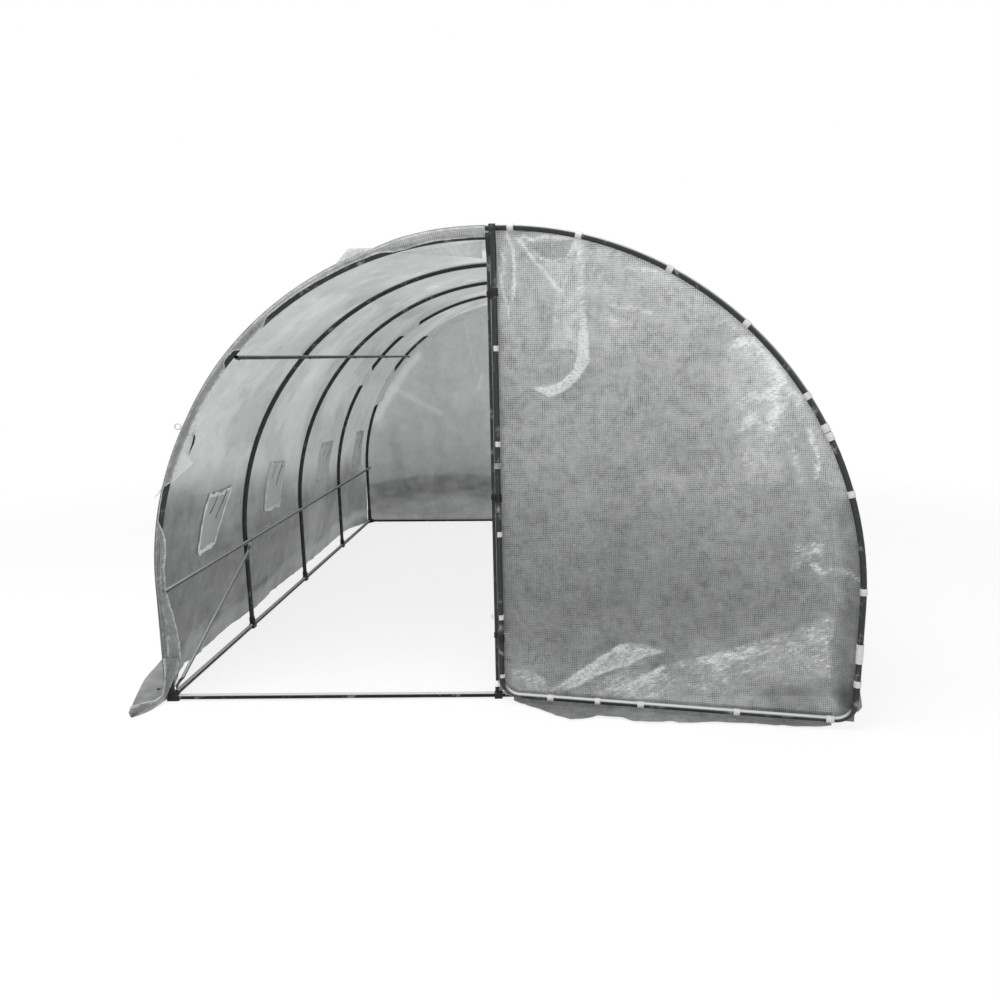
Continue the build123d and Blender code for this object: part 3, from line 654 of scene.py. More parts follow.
def eased_line(line, passes, count=None):
    """Places evenly spaced along a line of runs, about 8 mm apart unless counted, with its corners eased. It
    also gives how far along the line each one is."""
    line = np.array(line, float)
    run = np.concatenate([[0], np.cumsum(np.linalg.norm(np.diff(line, axis=0), axis=1))])
    s = np.linspace(0, run[-1], count or max(4, int(run[-1] / 0.008)))
    places = np.stack([np.interp(s, run, column) for column in line.T], axis=-1)
    for _ in range(passes):
        places[1:-1] = (places[:-2] + 2 * places[1:-1] + places[2:]) / 4
    return s, places


def tape(name, finish, line, width, lift=0.0015, seed=1, place=None, fray=0.25, soil_and_shade=0.05, haze=0.55):
    """A narrow band of film along a line, with edges that wander. place turns (a, b, lift) into points."""
    s, centre = eased_line(line, passes=3)
    ahead = np.gradient(centre, axis=0)
    ahead /= np.linalg.norm(ahead, axis=1)[:, None] + 1e-9
    across = np.stack([-ahead[:, 1], ahead[:, 0]], axis=-1)
    t = np.linspace(-0.5, 0.5, 5)
    wide = width * (1 + fray * wander(s, s * 0, 0.03, seed))
    sway = 0.25 * width * fray * 2 * wander(s, s * 0, 0.07, seed + 1)
    a = centre[:, 0][None, :] + t[:, None] * (wide * across[:, 0])[None, :] + (sway * across[:, 0])[None, :]
    b = centre[:, 1][None, :] + t[:, None] * (wide * across[:, 1])[None, :] + (sway * across[:, 1])[None, :]
    raised = lift + 0.0012 * wander(a, b, 0.02, seed + 2)
    cut = np.stack(np.broadcast_arrays(s[None, :], t[:, None] * width), axis=-1)
    return film_piece(name, finish, {"points": place(a, b, raised), "cut": cut, "soil_and_shade": soil_and_shade, "haze": haze})


# dust and creases on each bay's flaps
FLAP_SOIL = (0.46, 0.20, 0.16, 0.20)
FLAP_HAZE = (0.12, 0.20, 0.30, 0.22)


def windows():
    """Each window: a net inside the opening, a flap of film over it outside, a taped border and a tie."""
    trims = []
    for side, word in ((-1, "left"), (1, "right")):
        for bay in range(BAYS):
            label = f"{word}_{bay + 1}"
            net = window_patch(f"window_net_{label}", side, bay, NET, lift=-0.0030, margin=0.007,
                               billow=-0.004)
            on_tunnel(net, "window_mesh", f"window_mesh_{word}")
            flap = window_patch(f"window_flap_{label}", side, bay, TORN_FILM, lift=0.0032, margin=0.012,
                                billow=0.010,
                                soil_and_shade=FLAP_SOIL[bay], haze=FLAP_HAZE[bay])
            on_tunnel(flap, "woven_film", f"window_flap_{word}")

            def inside(a, b, lift, side=side):
                return vault_place(a, b, side, -0.0042 - lift)

            y0, y1, h0, h1 = bay + WINDOW_Y[0], bay + WINDOW_Y[1], *WINDOW_H
            ring = [(y0, h0), (y1 - 0.01, h0 - 0.008), (y1 + 0.006, h1), ((y0 + y1) / 2, h1 - 0.012),
                    (y0 - 0.006, h1 + 0.004), (y0, h0)]
            border = tape(f"window_border_{label}", FOLD_FILM, ring, 0.022, seed=80 + bay, place=inside,
                          fray=0.5,
                          soil_and_shade=0.30, haze=0.42)
            on_tunnel(border, "woven_film")
            trims.append(border)
            middle = (y0 + y1) / 2
            for n, lean in enumerate((0.045, -0.085)):
                top = middle + lean
                tie = tape(f"window_tie_{label}_{n + 1}", TIE_WEBBING,
                           [(top + 0.040, h1 - 0.004), (top + 0.024, h1 - 0.06),
                            (top - 0.012, h1 - 0.15 + 0.05 * n)],
                           0.013 - 0.004 * n, lift=0.005, seed=90 + bay, place=inside, fray=0.1)
                on_tunnel(tie, "clip_plastic")
                trims.append(tie)
    return trims


# ---- film at the hoops -------------------------------------------------------------------------------
def round_hoop(y, toward, side, h, turn, stand=0.0018, loose=0.0, rise=0.0):
    """Points on film wrapped round a hoop. turn is metres round the tube from its outermost line toward the
    open air at that end. Past the tube's face, the film runs on inward and hangs free."""
    radius = TUBE_R + stand
    quarter = radius * math.pi / 2
    bend = np.clip(turn, -0.02, quarter) / radius
    free = np.clip(turn - quarter, 0, None)
    angle = np.clip(h, 0, None) / FILM_R
    r = AXIS_R + rise + radius * np.cos(bend) - free
    dy = toward * (radius * np.sin(bend) - np.where(rise > 0.001, 0.03, 0.25) * free + loose)
    z = SPRING_Z + np.where(h > 0, r * np.sin(angle), h)
    x = side * np.where(h > 0, r * np.cos(angle), r)
    return np.stack([x, y + dy + 0 * x, z], axis=-1)


def at_angle(degrees):
    """How far up the film a place on the arch is."""
    return FILM_R * math.radians(degrees)


# the front hem on the left: the place up the film, and how far it comes round the hoop
LEFT_HEM = (
    (0.19 - SPRING_Z, 0.084), (0.237 - SPRING_Z, 0.084), (0.317 - SPRING_Z, 0.081), (0.424 - SPRING_Z, 0.067),
    (0.525 - SPRING_Z, 0.053), (at_angle(3.7), 0.049), (at_angle(6.3), 0.056), (at_angle(8.9), 0.055),
    (at_angle(11.0), 0.037), (at_angle(12.2), 0.020), (at_angle(18.0), 0.017), (at_angle(19.4), 0.045),
    (at_angle(24.0), 0.047), (at_angle(40.8), 0.043), (at_angle(41.6), 0.019), (at_angle(44.0), 0.018),
    (at_angle(45.0), 0.040), (at_angle(50.2), 0.038), (at_angle(51.8), 0.0195), (at_angle(72.6), 0.0195),
    (at_angle(75.0), 0.034), (at_angle(80.0), 0.028), (at_angle(90.0), 0.026))


def hem(name, y, toward, side, rows, seed, start=-0.006):
    """The cover's end hem, folded round an end hoop."""
    h = np.arange(rows[0][0], rows[-1][0], 0.012)
    rise = front_rise(h, side) if y == FRONT else 0 * h
    reach = (table(h, rows) * (1 + 0.04 * wander(h, h * 0, 0.12, seed))
             + 0.001 * wander(h, h * 0, 0.03, seed + 1) + rise)
    t = np.linspace(0, 1, 12)[:, None]
    turn = start + (reach - start) * t
    h, t = np.broadcast_arrays(h[None, :], t)
    loose = 0.003 * wander(turn * 3, h, 0.035, seed + 2) * smooth(0.02, 0.05, turn) + 0.0015 * t
    points = round_hoop(y, toward, side, h, turn, loose=loose, rise=rise)
    folds = np.exp(-((reach - turn - 0.002) / 0.004) ** 2) + 0.8 * np.exp(-((turn - 0.014) / 0.004) ** 2)
    folds += (0.6 * np.exp(-((turn - 0.036 - 0.004 * wander(h, h * 0, 0.2, seed + 4)) / 0.004) ** 2)
              * smooth(0.3, 0.0, h))
    haze = 0.06 + 0.55 * folds + 0.10 * wander(h, turn * 4, 0.03, seed + 3)
    soil_and_shade = 0.35 * (1 - smooth(-0.1, 0.5, h)) + 0.18
    return film_piece(name, HEM_FILM, {
        "points": points, "cut": np.stack([h, turn], axis=-1), "soil_and_shade": soil_and_shade, "haze": haze})


def hoop_fold(name, y, start, end, side=-1, seed=3):
    """Film of the cover that hangs over a length of hoop inside the tunnel and hides it."""
    h = np.arange(at_angle(start), at_angle(end), 0.012)
    along = np.linspace(0, 1, len(h))
    t = np.linspace(0, 1, 9)[:, None]
    # it comes to a point over the tube at each end
    from_end = np.minimum(along, 1 - along) * (h[-1] - h[0])
    lip = ((0.044 + 0.010 * wander(h, h * 0, 0.11, seed))
           * (0.05 + 0.95 * smooth(0.0, min(0.11, 0.3 * (h[-1] - h[0])), from_end)))
    turn = 0.009 + lip * t
    h, t = np.broadcast_arrays(h[None, :], t)
    points = round_hoop(y, -1, side, h, turn, stand=0.0030,
                        loose=0.004 * wander(h, turn * 4, 0.05, seed + 1) * t)
    haze = 0.55 + 0.35 * wander(h, turn * 5, 0.05, seed + 2) + 0.3 * smooth(0.8, 1.0, t)
    return film_piece(name, FOLD_FILM,
                      {"points": points, "cut": np.stack([h, turn], axis=-1), "soil_and_shade": 0.03, "haze": haze})


def scrap(name, corners, normal, finish=TORN_FILM, curl=0.006, haze=0.75, soil_and_shade=0.0, seed=7, steps=9):
    """A torn corner of film between three or four points, curled along a normal."""
    corners = [Vector(c) for c in corners]
    if len(corners) == 3:
        corners.append(corners[2].lerp(corners[0], 0.04))
    a, b = np.meshgrid(np.linspace(0, 1, steps), np.linspace(0, 1, steps))
    shares = ((1 - a) * (1 - b), a * (1 - b), a * b, (1 - a) * b)
    points = sum(s[..., None] * np.array(c) for s, c in zip(shares, corners))
    lift = curl * (np.sin(np.pi * a) * 0.8 + wander(a * 0.1, b * 0.1, 0.035, seed))
    points = points + lift[..., None] * np.array(normal)
    wide, tall = (corners[1] - corners[0]).length, (corners[3] - corners[0]).length
    cut = np.stack([a * max(wide, 0.02), b * max(tall, 0.02)], axis=-1)
    return film_piece(name, finish, {"points": points, "cut": cut, "soil_and_shade": soil_and_shade, "haze": haze})


def hem_turn():
    """The hem at the foot of the front leg, where it turns out along the tail's loose end."""
    outer = [(-1.5035, -0.013, 0.205), (-1.5045, -0.014, 0.12), (-1.508, -0.018, 0.07),
             (-1.517, -0.028, 0.035),
             (-1.531, -0.040, 0.018), (-1.560, -0.062, 0.013), (-1.600, -0.086, 0.012),
             (-1.629, -0.101, 0.011)]
    inner = [(-1.426, -0.024, 0.21), (-1.424, -0.026, 0.17), (-1.434, -0.028, 0.14), (-1.456, -0.030, 0.118),
             (-1.460, -0.034, 0.098), (-1.474, -0.038, 0.07), (-1.487, -0.043, 0.04), (-1.503, -0.062, 0.014),
             (-1.527, -0.115, 0.009), (-1.548, -0.160, 0.007), (-1.574, -0.190, 0.006)]
    edges = [eased_line(edge, passes=5, count=50)[1] for edge in (outer, inner)]
    t = np.linspace(0, 1, 11)[:, None, None]
    points = edges[0][None] * (1 - t) + edges[1][None] * t
    along = np.linspace(0, 0.42, 50)[None, :]
    t = t[..., 0]
    flat = smooth(0.20, 0.28, along)
    puff = np.sin(np.pi * t) * (0.004 + 0.002 * wander(along, t * 0.05, 0.03, 181))
    points[..., 1] -= puff * (1 - flat)
    points[..., 2] += puff * (0.3 + 0.7 * flat)
    haze = 0.06 + 0.7 * np.exp(-((t - 0.08) / 0.10) ** 2) + 0.35 * np.exp(-((t - 0.95) / 0.05) ** 2)
    return film_piece("front_hem_turn", HEM_FILM, {
        "points": points, "cut": np.stack(np.broadcast_arrays(along, 0.072 * t), axis=-1),
        "soil_and_shade": 0.56, "haze": haze + 0.10 * wander(along, t * 0.07, 0.03, 182)})


def front_trims():
    """The hems of the end hoops, the folds over hoops inside, and what has torn loose at the front."""
    made = [hem("front_hem_left", FRONT, -1, -1, LEFT_HEM, seed=101), hem_turn()]

    def on_tail(a, b, lift):
        return np.stack([-a, b, 0.0155 + lift], axis=-1)

    made.append(tape("tail_fold", TORN_FILM, FLAP_FOLD, 0.007, seed=183, place=on_tail, soil_and_shade=0.25, haze=0.6))
    plain = ((0.09 - SPRING_Z, 0.026), (at_angle(60), 0.030), (CROWN_H, 0.028))
    made.append(hem("front_hem_right", FRONT, -1, 1, plain, seed=111))
    made.append(hem("rear_hem_left", REAR, 1, -1, plain, seed=121, start=0.004))
    made.append(hem("rear_hem_right", REAR, 1, 1, plain, seed=131, start=0.004))
    folds = ((3, 31.0, 39.5), (3, 50.5, 59.5), (3, 78.0, 92.0), (4, 21.0, 38.5), (4, 51.5, 88.0))
    for n, (hoop, start, end) in enumerate(folds):
        made.append(hoop_fold(f"hoop_fold_{n + 1}", HOOPS[hoop], start, end, seed=141 + 5 * n))

    def on_front(r, degrees, y):
        a = math.radians(degrees)
        return -r * math.cos(a), y, SPRING_Z + r * math.sin(a)

    ahead = (0, -1, 0)
    made.append(scrap("torn_corner_low",
                      [(-1.368, 0.10, 1.125), (-1.338, 0.11, 1.069), (-1.478, 0.012, 0.930)],
                      ahead, seed=151))
    made.append(scrap("torn_flap_a", [(-1.345, 0.15, 1.262), (-1.300, 0.15, 1.238), (-1.330, 0.13, 1.208),
                                      (-1.372, 0.12, 1.232)], ahead, seed=152))
    made.append(scrap("torn_flap_b", [(-1.372, 0.13, 1.196), (-1.340, 0.14, 1.205), (-1.352, 0.13, 1.165)],
                      ahead, seed=153))
    made.append(scrap("lifted_corner", [on_front(1.5005, 64.4, -0.014), on_front(1.551, 68.3, -0.012),
                                        on_front(1.5005, 74.2, -0.014)], ahead, finish=HEM_FILM, haze=0.35,
                      soil_and_shade=0.1, curl=0.002, seed=154))
    made.append(scrap("hanging_fold", [on_front(1.470, 75.5, 0.004), on_front(1.470, 88.9, 0.004),
                                       on_front(1.405, 88.7, 0.020), on_front(1.466, 76.5, 0.006)], ahead,
                      finish=VAULT_FILM, haze=0.45, soil_and_shade=0.08, curl=0.004, seed=155, steps=24))
    made.append(scrap("post_foot_scrap",
                      [(-0.013, -0.031, 0.066), (0.010, -0.031, 0.066), (0.004, -0.029, 0.094),
                                          (-0.010, -0.029, 0.094)], ahead, finish=FOLD_FILM, seed=156,
                                          curl=0.002))
    made.append(scrap("post_tie_end",
                      [(-0.016, -0.004, 0.372), (-0.033, -0.004, 0.380), (-0.030, -0.004, 0.403),
                                       (-0.016, -0.004, 0.396)], ahead, finish=FOLD_FILM, seed=157,
                                       curl=0.002))
    for piece in made:
        on_tunnel(piece, "woven_film")
    return made


# ---- end sheets --------------------------------------------------------------------------------------
END_SHEET_DARKENING = ((0.0, 0.62), (0.10, 0.57), (0.20, 0.66), (0.28, 0.90), (0.42, 0.88), (0.445, 0.60), (0.62, 0.38),
             (0.80, 0.25), (1.2, 0.10), (2.1, 0.02))


REAR_LINES = (([(-1.231, 1.256), (-1.044, 1.156), (-0.793, 1.018)], 0.018, 0.55),
              ([(-1.40, 0.957), (-1.30, 1.121), (-1.185, 1.274), (-1.069, 1.443), (-0.98, 1.53)], 0.035, 0.8),
              ([(-0.541, 1.829), (-0.503, 1.583), (-0.437, 1.333)], 0.014, 0.3),
              ([(-0.40, 1.36), (-0.44, 1.24)], 0.016, 0.45),
              ([(-1.36, 0.90), (-1.33, 1.06), (-1.24, 1.24)], 0.05, 0.35))
# a painted shadow on the rear sheet: the outline (x, z) of a darker upright band beside the far hoop's left
# leg
REAR_SHADE = [(-1.27, 0.95), (-1.17, 0.93), (-1.15, 0.50), (-1.25, 0.46)]


REAR_TIDE = ((-1.35, 0.06), (-1.20, 0.03), (-1.05, 0.0), (-0.85, -0.012), (-0.70, -0.035), (-0.55, -0.015),
             (-0.30, 0.0))


def end_film(name, y, toward, x_from, x_to, columns, rows, soil_and_shade, seed, holes=None):
    """A flat end sheet under the arch, tied at its edge and slack in the middle."""
    x = np.linspace(x_from, x_to, columns)
    rim = FILM_R - 0.003
    top = SPRING_Z + np.sqrt(np.clip(rim ** 2 - x ** 2, 1e-6, None))
    t = np.linspace(0, 1, rows)[:, None]
    z = 0.005 + (top - 0.005) * t
    x = np.broadcast_to(x, z.shape)
    inside = np.minimum(rim - np.hypot(x, np.clip(z - SPRING_Z, 0, None)), z)
    held = smooth(0.0, 0.22, inside)
    belly = held * (0.008 * wander(x, z, 0.55, seed) + 0.005 * wander(x + 0.5 * z, z, 0.17, seed + 1))
    pleats = 0.0025 * wander(x * 1.5, z * 0.3, 0.05, seed + 2) * smooth(0.02, 0.10, inside)
    points = np.stack([x, y + toward * (np.abs(belly) + pleats + 0.003), z], axis=-1)
    creases = crumple(x + 0.4 * z, z - 0.5 * x, 0.55,
                      seed + 3) * smooth(0.1, 0.8, wander(x, z, 0.6, seed + 4))
    edge = smooth(0.10, 0.02, inside) * crumple(x, z, 0.10, seed + 5)
    grid = {"points": points, "cut": np.stack([x, z], axis=-1),
            "soil_and_shade": table(z + 0.014 * wander(x, z, 0.16, seed + 7) + table(x, REAR_TIDE), soil_and_shade)
            + 0.10 * smooth(0.47, 0.42, z) * wander(x * 0.7, z * 2.0, 0.07,
                                                    seed + 8) + 0.06
                                                    * wander(x * 2.2, z * 0.5, 0.20, seed + 6)
            # plus the painted shadow beside the far hoop's left leg
            + 0.12 * patch(x, z, REAR_SHADE, 0.03),
            "haze": 0.42 * creases + 0.35 * edge}
    for line, width, weight in REAR_LINES:
        grid["haze"] = grid["haze"] + weight * np.exp(-(path_distance(x, z, line) / width) ** 2)
    if holes is not None:
        grid["holes"] = holes((x[1:, 1:] + x[:-1, :-1]) / 2, (z[1:, 1:] + z[:-1, :-1]) / 2)
    return film_piece(name, VAULT_FILM, grid)


def end_sheets():
    rear = end_film("rear_film", REAR + END_FILM_OUT, 1, -FILM_R + 0.004, FILM_R - 0.004, 130, 90, END_SHEET_DARKENING,
                    seed=161)
    on_tunnel(rear, "woven_film", "rear_sheet")

    def round_hinges(x, z):
        near = np.zeros(x.shape, bool)
        for hinge_z in HINGE_ZS:
            near |= (x < 0.045) & (np.abs(z - hinge_z) < 0.026)
        return near | ((x < 0.022) & (z > CROWN_Z - 0.11)) | (z < 0.050 - 0.5 * x)

    front = end_film("front_film_right", FRONT - END_FILM_OUT, -1, 0.003, FILM_R - 0.004, 90, 110, END_SHEET_DARKENING,
                     seed=171,
                     holes=round_hinges)
    on_tunnel(front, "woven_film", "front_sheet_right")
    return rear, front


# ---- the leaf ----------------------------------------------------------------------------------------
def leaf_place(u, v, z):
    """Points in the leaf's own frame: u out from the stile, v behind its plane, z up."""
    x = HINGE_X + u * LEAF_U.x + v * LEAF_V.x
    y = HINGE_Y + u * LEAF_U.y + v * LEAF_V.y
    return np.stack(np.broadcast_arrays(x, y, z + 0 * x), axis=-1)


LEAF_DARKENING = ((0.0, 0.28), (0.2, 0.38), (0.35, 0.48), (0.50, 0.54), (0.65, 0.52), (0.80, 0.46), (0.92, 0.36),
             (1.2, 0.26), (1.4, 0.17), (1.6, 0.08), (1.8, 0.02), (2.1, 0.0))
# outlines and lines on the leaf's film, as places (u, z)
J_BAND = [(0.346, 2.02), (0.352, 1.895), (0.356, 1.787), (0.360, 1.690), (0.366, 1.600), (0.372, 1.53)]
J_FOOT = [(0.352, 1.720), (0.376, 1.720), (0.386, 1.600), (0.392, 1.50), (0.345, 1.435), (0.285, 1.385),
          (0.222, 1.358),
          (0.135, 1.405), (0.200, 1.402), (0.262, 1.418), (0.325, 1.475), (0.345, 1.55)]
J_SIDE = [(0.255, 1.775), (0.292, 1.77), (0.345, 1.78), (0.350, 1.53), (0.303, 1.560), (0.207, 1.553),
          (0.235, 1.633)]
TOP_WEDGE = [(0.088, 1.990), (0.340, 1.992), (0.286, 1.770), (0.262, 1.765)]
DARK_TOP_PATCH = [(0.140, 1.975), (0.330, 1.982), (0.300, 1.915), (0.271, 1.896), (0.205, 1.906)]
LOW_LEFT = [(0.226, 0.066), (0.330, 0.155), (0.440, 0.240), (0.519, 0.300), (0.566, 0.318), (0.657, 0.311),
            (0.720, 0.285), (0.628, 0.250), (0.567, 0.216), (0.467, 0.175), (0.320, 0.085)]
LOW_MIDDLE = [(0.330, 0.070), (0.450, 0.140), (0.560, 0.195), (0.660, 0.180), (0.760, 0.150), (0.820, 0.080),
              (0.600, 0.055)]
LOW_RIGHT = [(0.577, 0.108), (0.701, 0.218), (0.828, 0.255), (0.944, 0.294), (1.054, 0.337), (1.162, 0.379),
             (1.272, 0.425), (1.391, 0.480), (1.398, 0.345), (1.406, 0.225), (1.273, 0.171), (1.172, 0.158),
             (1.092, 0.098), (0.820, 0.120)]
LOW_CORNER = [(0.034, 0.152), (0.103, 0.170), (0.194, 0.126), (0.225, 0.052), (0.056, 0.050)]
HIGH_RIGHT = [(0.958, 1.606), (1.062, 1.575), (1.148, 1.502), (1.165, 1.380), (1.150, 1.277), (1.138, 1.150),
              (1.143, 1.039), (1.035, 1.028), (1.000, 1.180), (0.970, 1.256), (1.011, 1.433)]
FAR_RIGHT = [(1.215, 0.770), (1.341, 0.785), (1.385, 0.670), (1.340, 0.640), (1.225, 0.670)]
# places (u, z) matched by tone one at a time: how wide each is, and how much darker or lighter it is made
LEAF_SPOTS = ((0.50, 1.60, 0.08, -0.18), (0.90, 1.60, 0.10, 0.18), (0.30, 1.80, 0.04, -0.22),
              (0.30, 1.40, 0.03, 0.14),
              (0.70, 1.00, 0.09, -0.10), (0.95, 1.00, 0.10, -0.12), (1.12, 1.15, 0.08, -0.12),
              (1.30, 1.00, 0.05, 0.08),
              (1.42, 0.90, 0.04, 0.10), (0.50, 1.38, 0.06, -0.08), (0.90, 1.40, 0.08, -0.10),
              (0.50, 0.70, 0.08, 0.08),
              (1.10, 0.70, 0.06, -0.08), (1.30, 0.70, 0.04, 0.12), (0.90, 0.80, 0.06, -0.10),
              (0.10, 0.40, 0.06, -0.10),
              (0.90, 0.30, 0.06, -0.12), (0.50, 0.10, 0.05, 0.18), (0.70, 0.20, 0.05, 0.14),
              (0.90, 0.10, 0.05, -0.12),
              (1.42, 0.10, 0.05, -0.28), (0.50, 0.30, 0.05, 0.10))
# lines: the path, how wide it is and how white
FOLDS = (
    ([(0.104, 1.990), (0.169, 1.899), (0.222, 1.844), (0.271, 1.781)], 0.007, 0.62),
    ([(0.051, 2.017), (0.079, 1.948), (0.086, 1.870), (0.075, 1.753)], 0.006, 0.66),
    ([(0.020, 1.880), (0.036, 1.780), (0.052, 1.730), (0.057, 1.682)], 0.007, 0.50),
    ([(0.028, 1.950), (0.042, 1.900), (0.040, 1.860)], 0.008, 0.35),
    ([(0.190, 1.914), (0.239, 1.901), (0.296, 1.911), (0.338, 1.975)], 0.005, 0.50),
    ([(0.121, 2.000), (0.162, 1.984), (0.211, 1.997), (0.272, 1.988), (0.330, 1.990)], 0.006, 0.70),
    ([(0.473, 1.727), (0.522, 1.711), (0.577, 1.718), (0.633, 1.694)], 0.009, 0.26),
    ([(0.458, 1.677), (0.514, 1.661), (0.594, 1.644)], 0.010, 0.24),
    ([(0.548, 1.871), (0.591, 1.862), (0.662, 1.853)], 0.009, 0.34),
    ([(1.114, 1.502), (1.155, 1.433), (1.116, 1.383), (1.142, 1.321), (1.121, 1.285)], 0.028, 0.42),
    ([(1.180, 1.391), (1.234, 1.368), (1.213, 1.341)], 0.014, 0.30),
    ([(1.002, 1.248), (1.043, 1.294), (1.088, 1.249), (1.123, 1.242)], 0.018, 0.32),
    ([(0.952, 1.557), (0.993, 1.579), (1.039, 1.586), (1.086, 1.537), (1.119, 1.495)], 0.018, 0.30),
    ([(1.268, 1.236), (1.278, 1.185), (1.298, 1.158), (1.308, 1.114), (1.304, 1.058)], 0.012, 0.34),
    ([(1.006, 1.347), (1.048, 1.363), (1.102, 1.367)], 0.020, 0.30),
    ([(1.193, 1.199), (1.224, 1.121), (1.240, 1.041)], 0.020, 0.22),
    ([(1.232, 0.670), (1.278, 0.748), (1.332, 0.767)], 0.020, 0.14),
    ([(1.240, 0.729), (1.296, 0.715), (1.353, 0.659), (1.380, 0.669)], 0.018, 0.16),
    ([(1.235, 0.767), (1.300, 0.778), (1.341, 0.746)], 0.016, 0.22),
    ([(1.410, 0.679), (1.453, 0.664), (1.493, 0.641)], 0.016, 0.20),
    ([(0.226, 0.072), (0.330, 0.150), (0.440, 0.232), (0.519, 0.290)], 0.010, 0.22),
    ([(0.253, 0.060), (0.467, 0.180), (0.567, 0.216), (0.640, 0.230)], 0.008, 0.22),
    ([(0.580, 0.118), (0.640, 0.170), (0.720, 0.215)], 0.010, 0.22))
# a broken line for the hoop's leg and the tail of the cover behind, which show faintly through the leaf. It
# is drawn on the leaf's own film, so it stays there from every side
SEEN_EDGE = [(1.20, 1.24), (1.31, 1.08), (1.365, 0.90), (1.376, 0.72), (1.390, 0.55), (1.400, 0.43),
             (1.402, 0.20)]


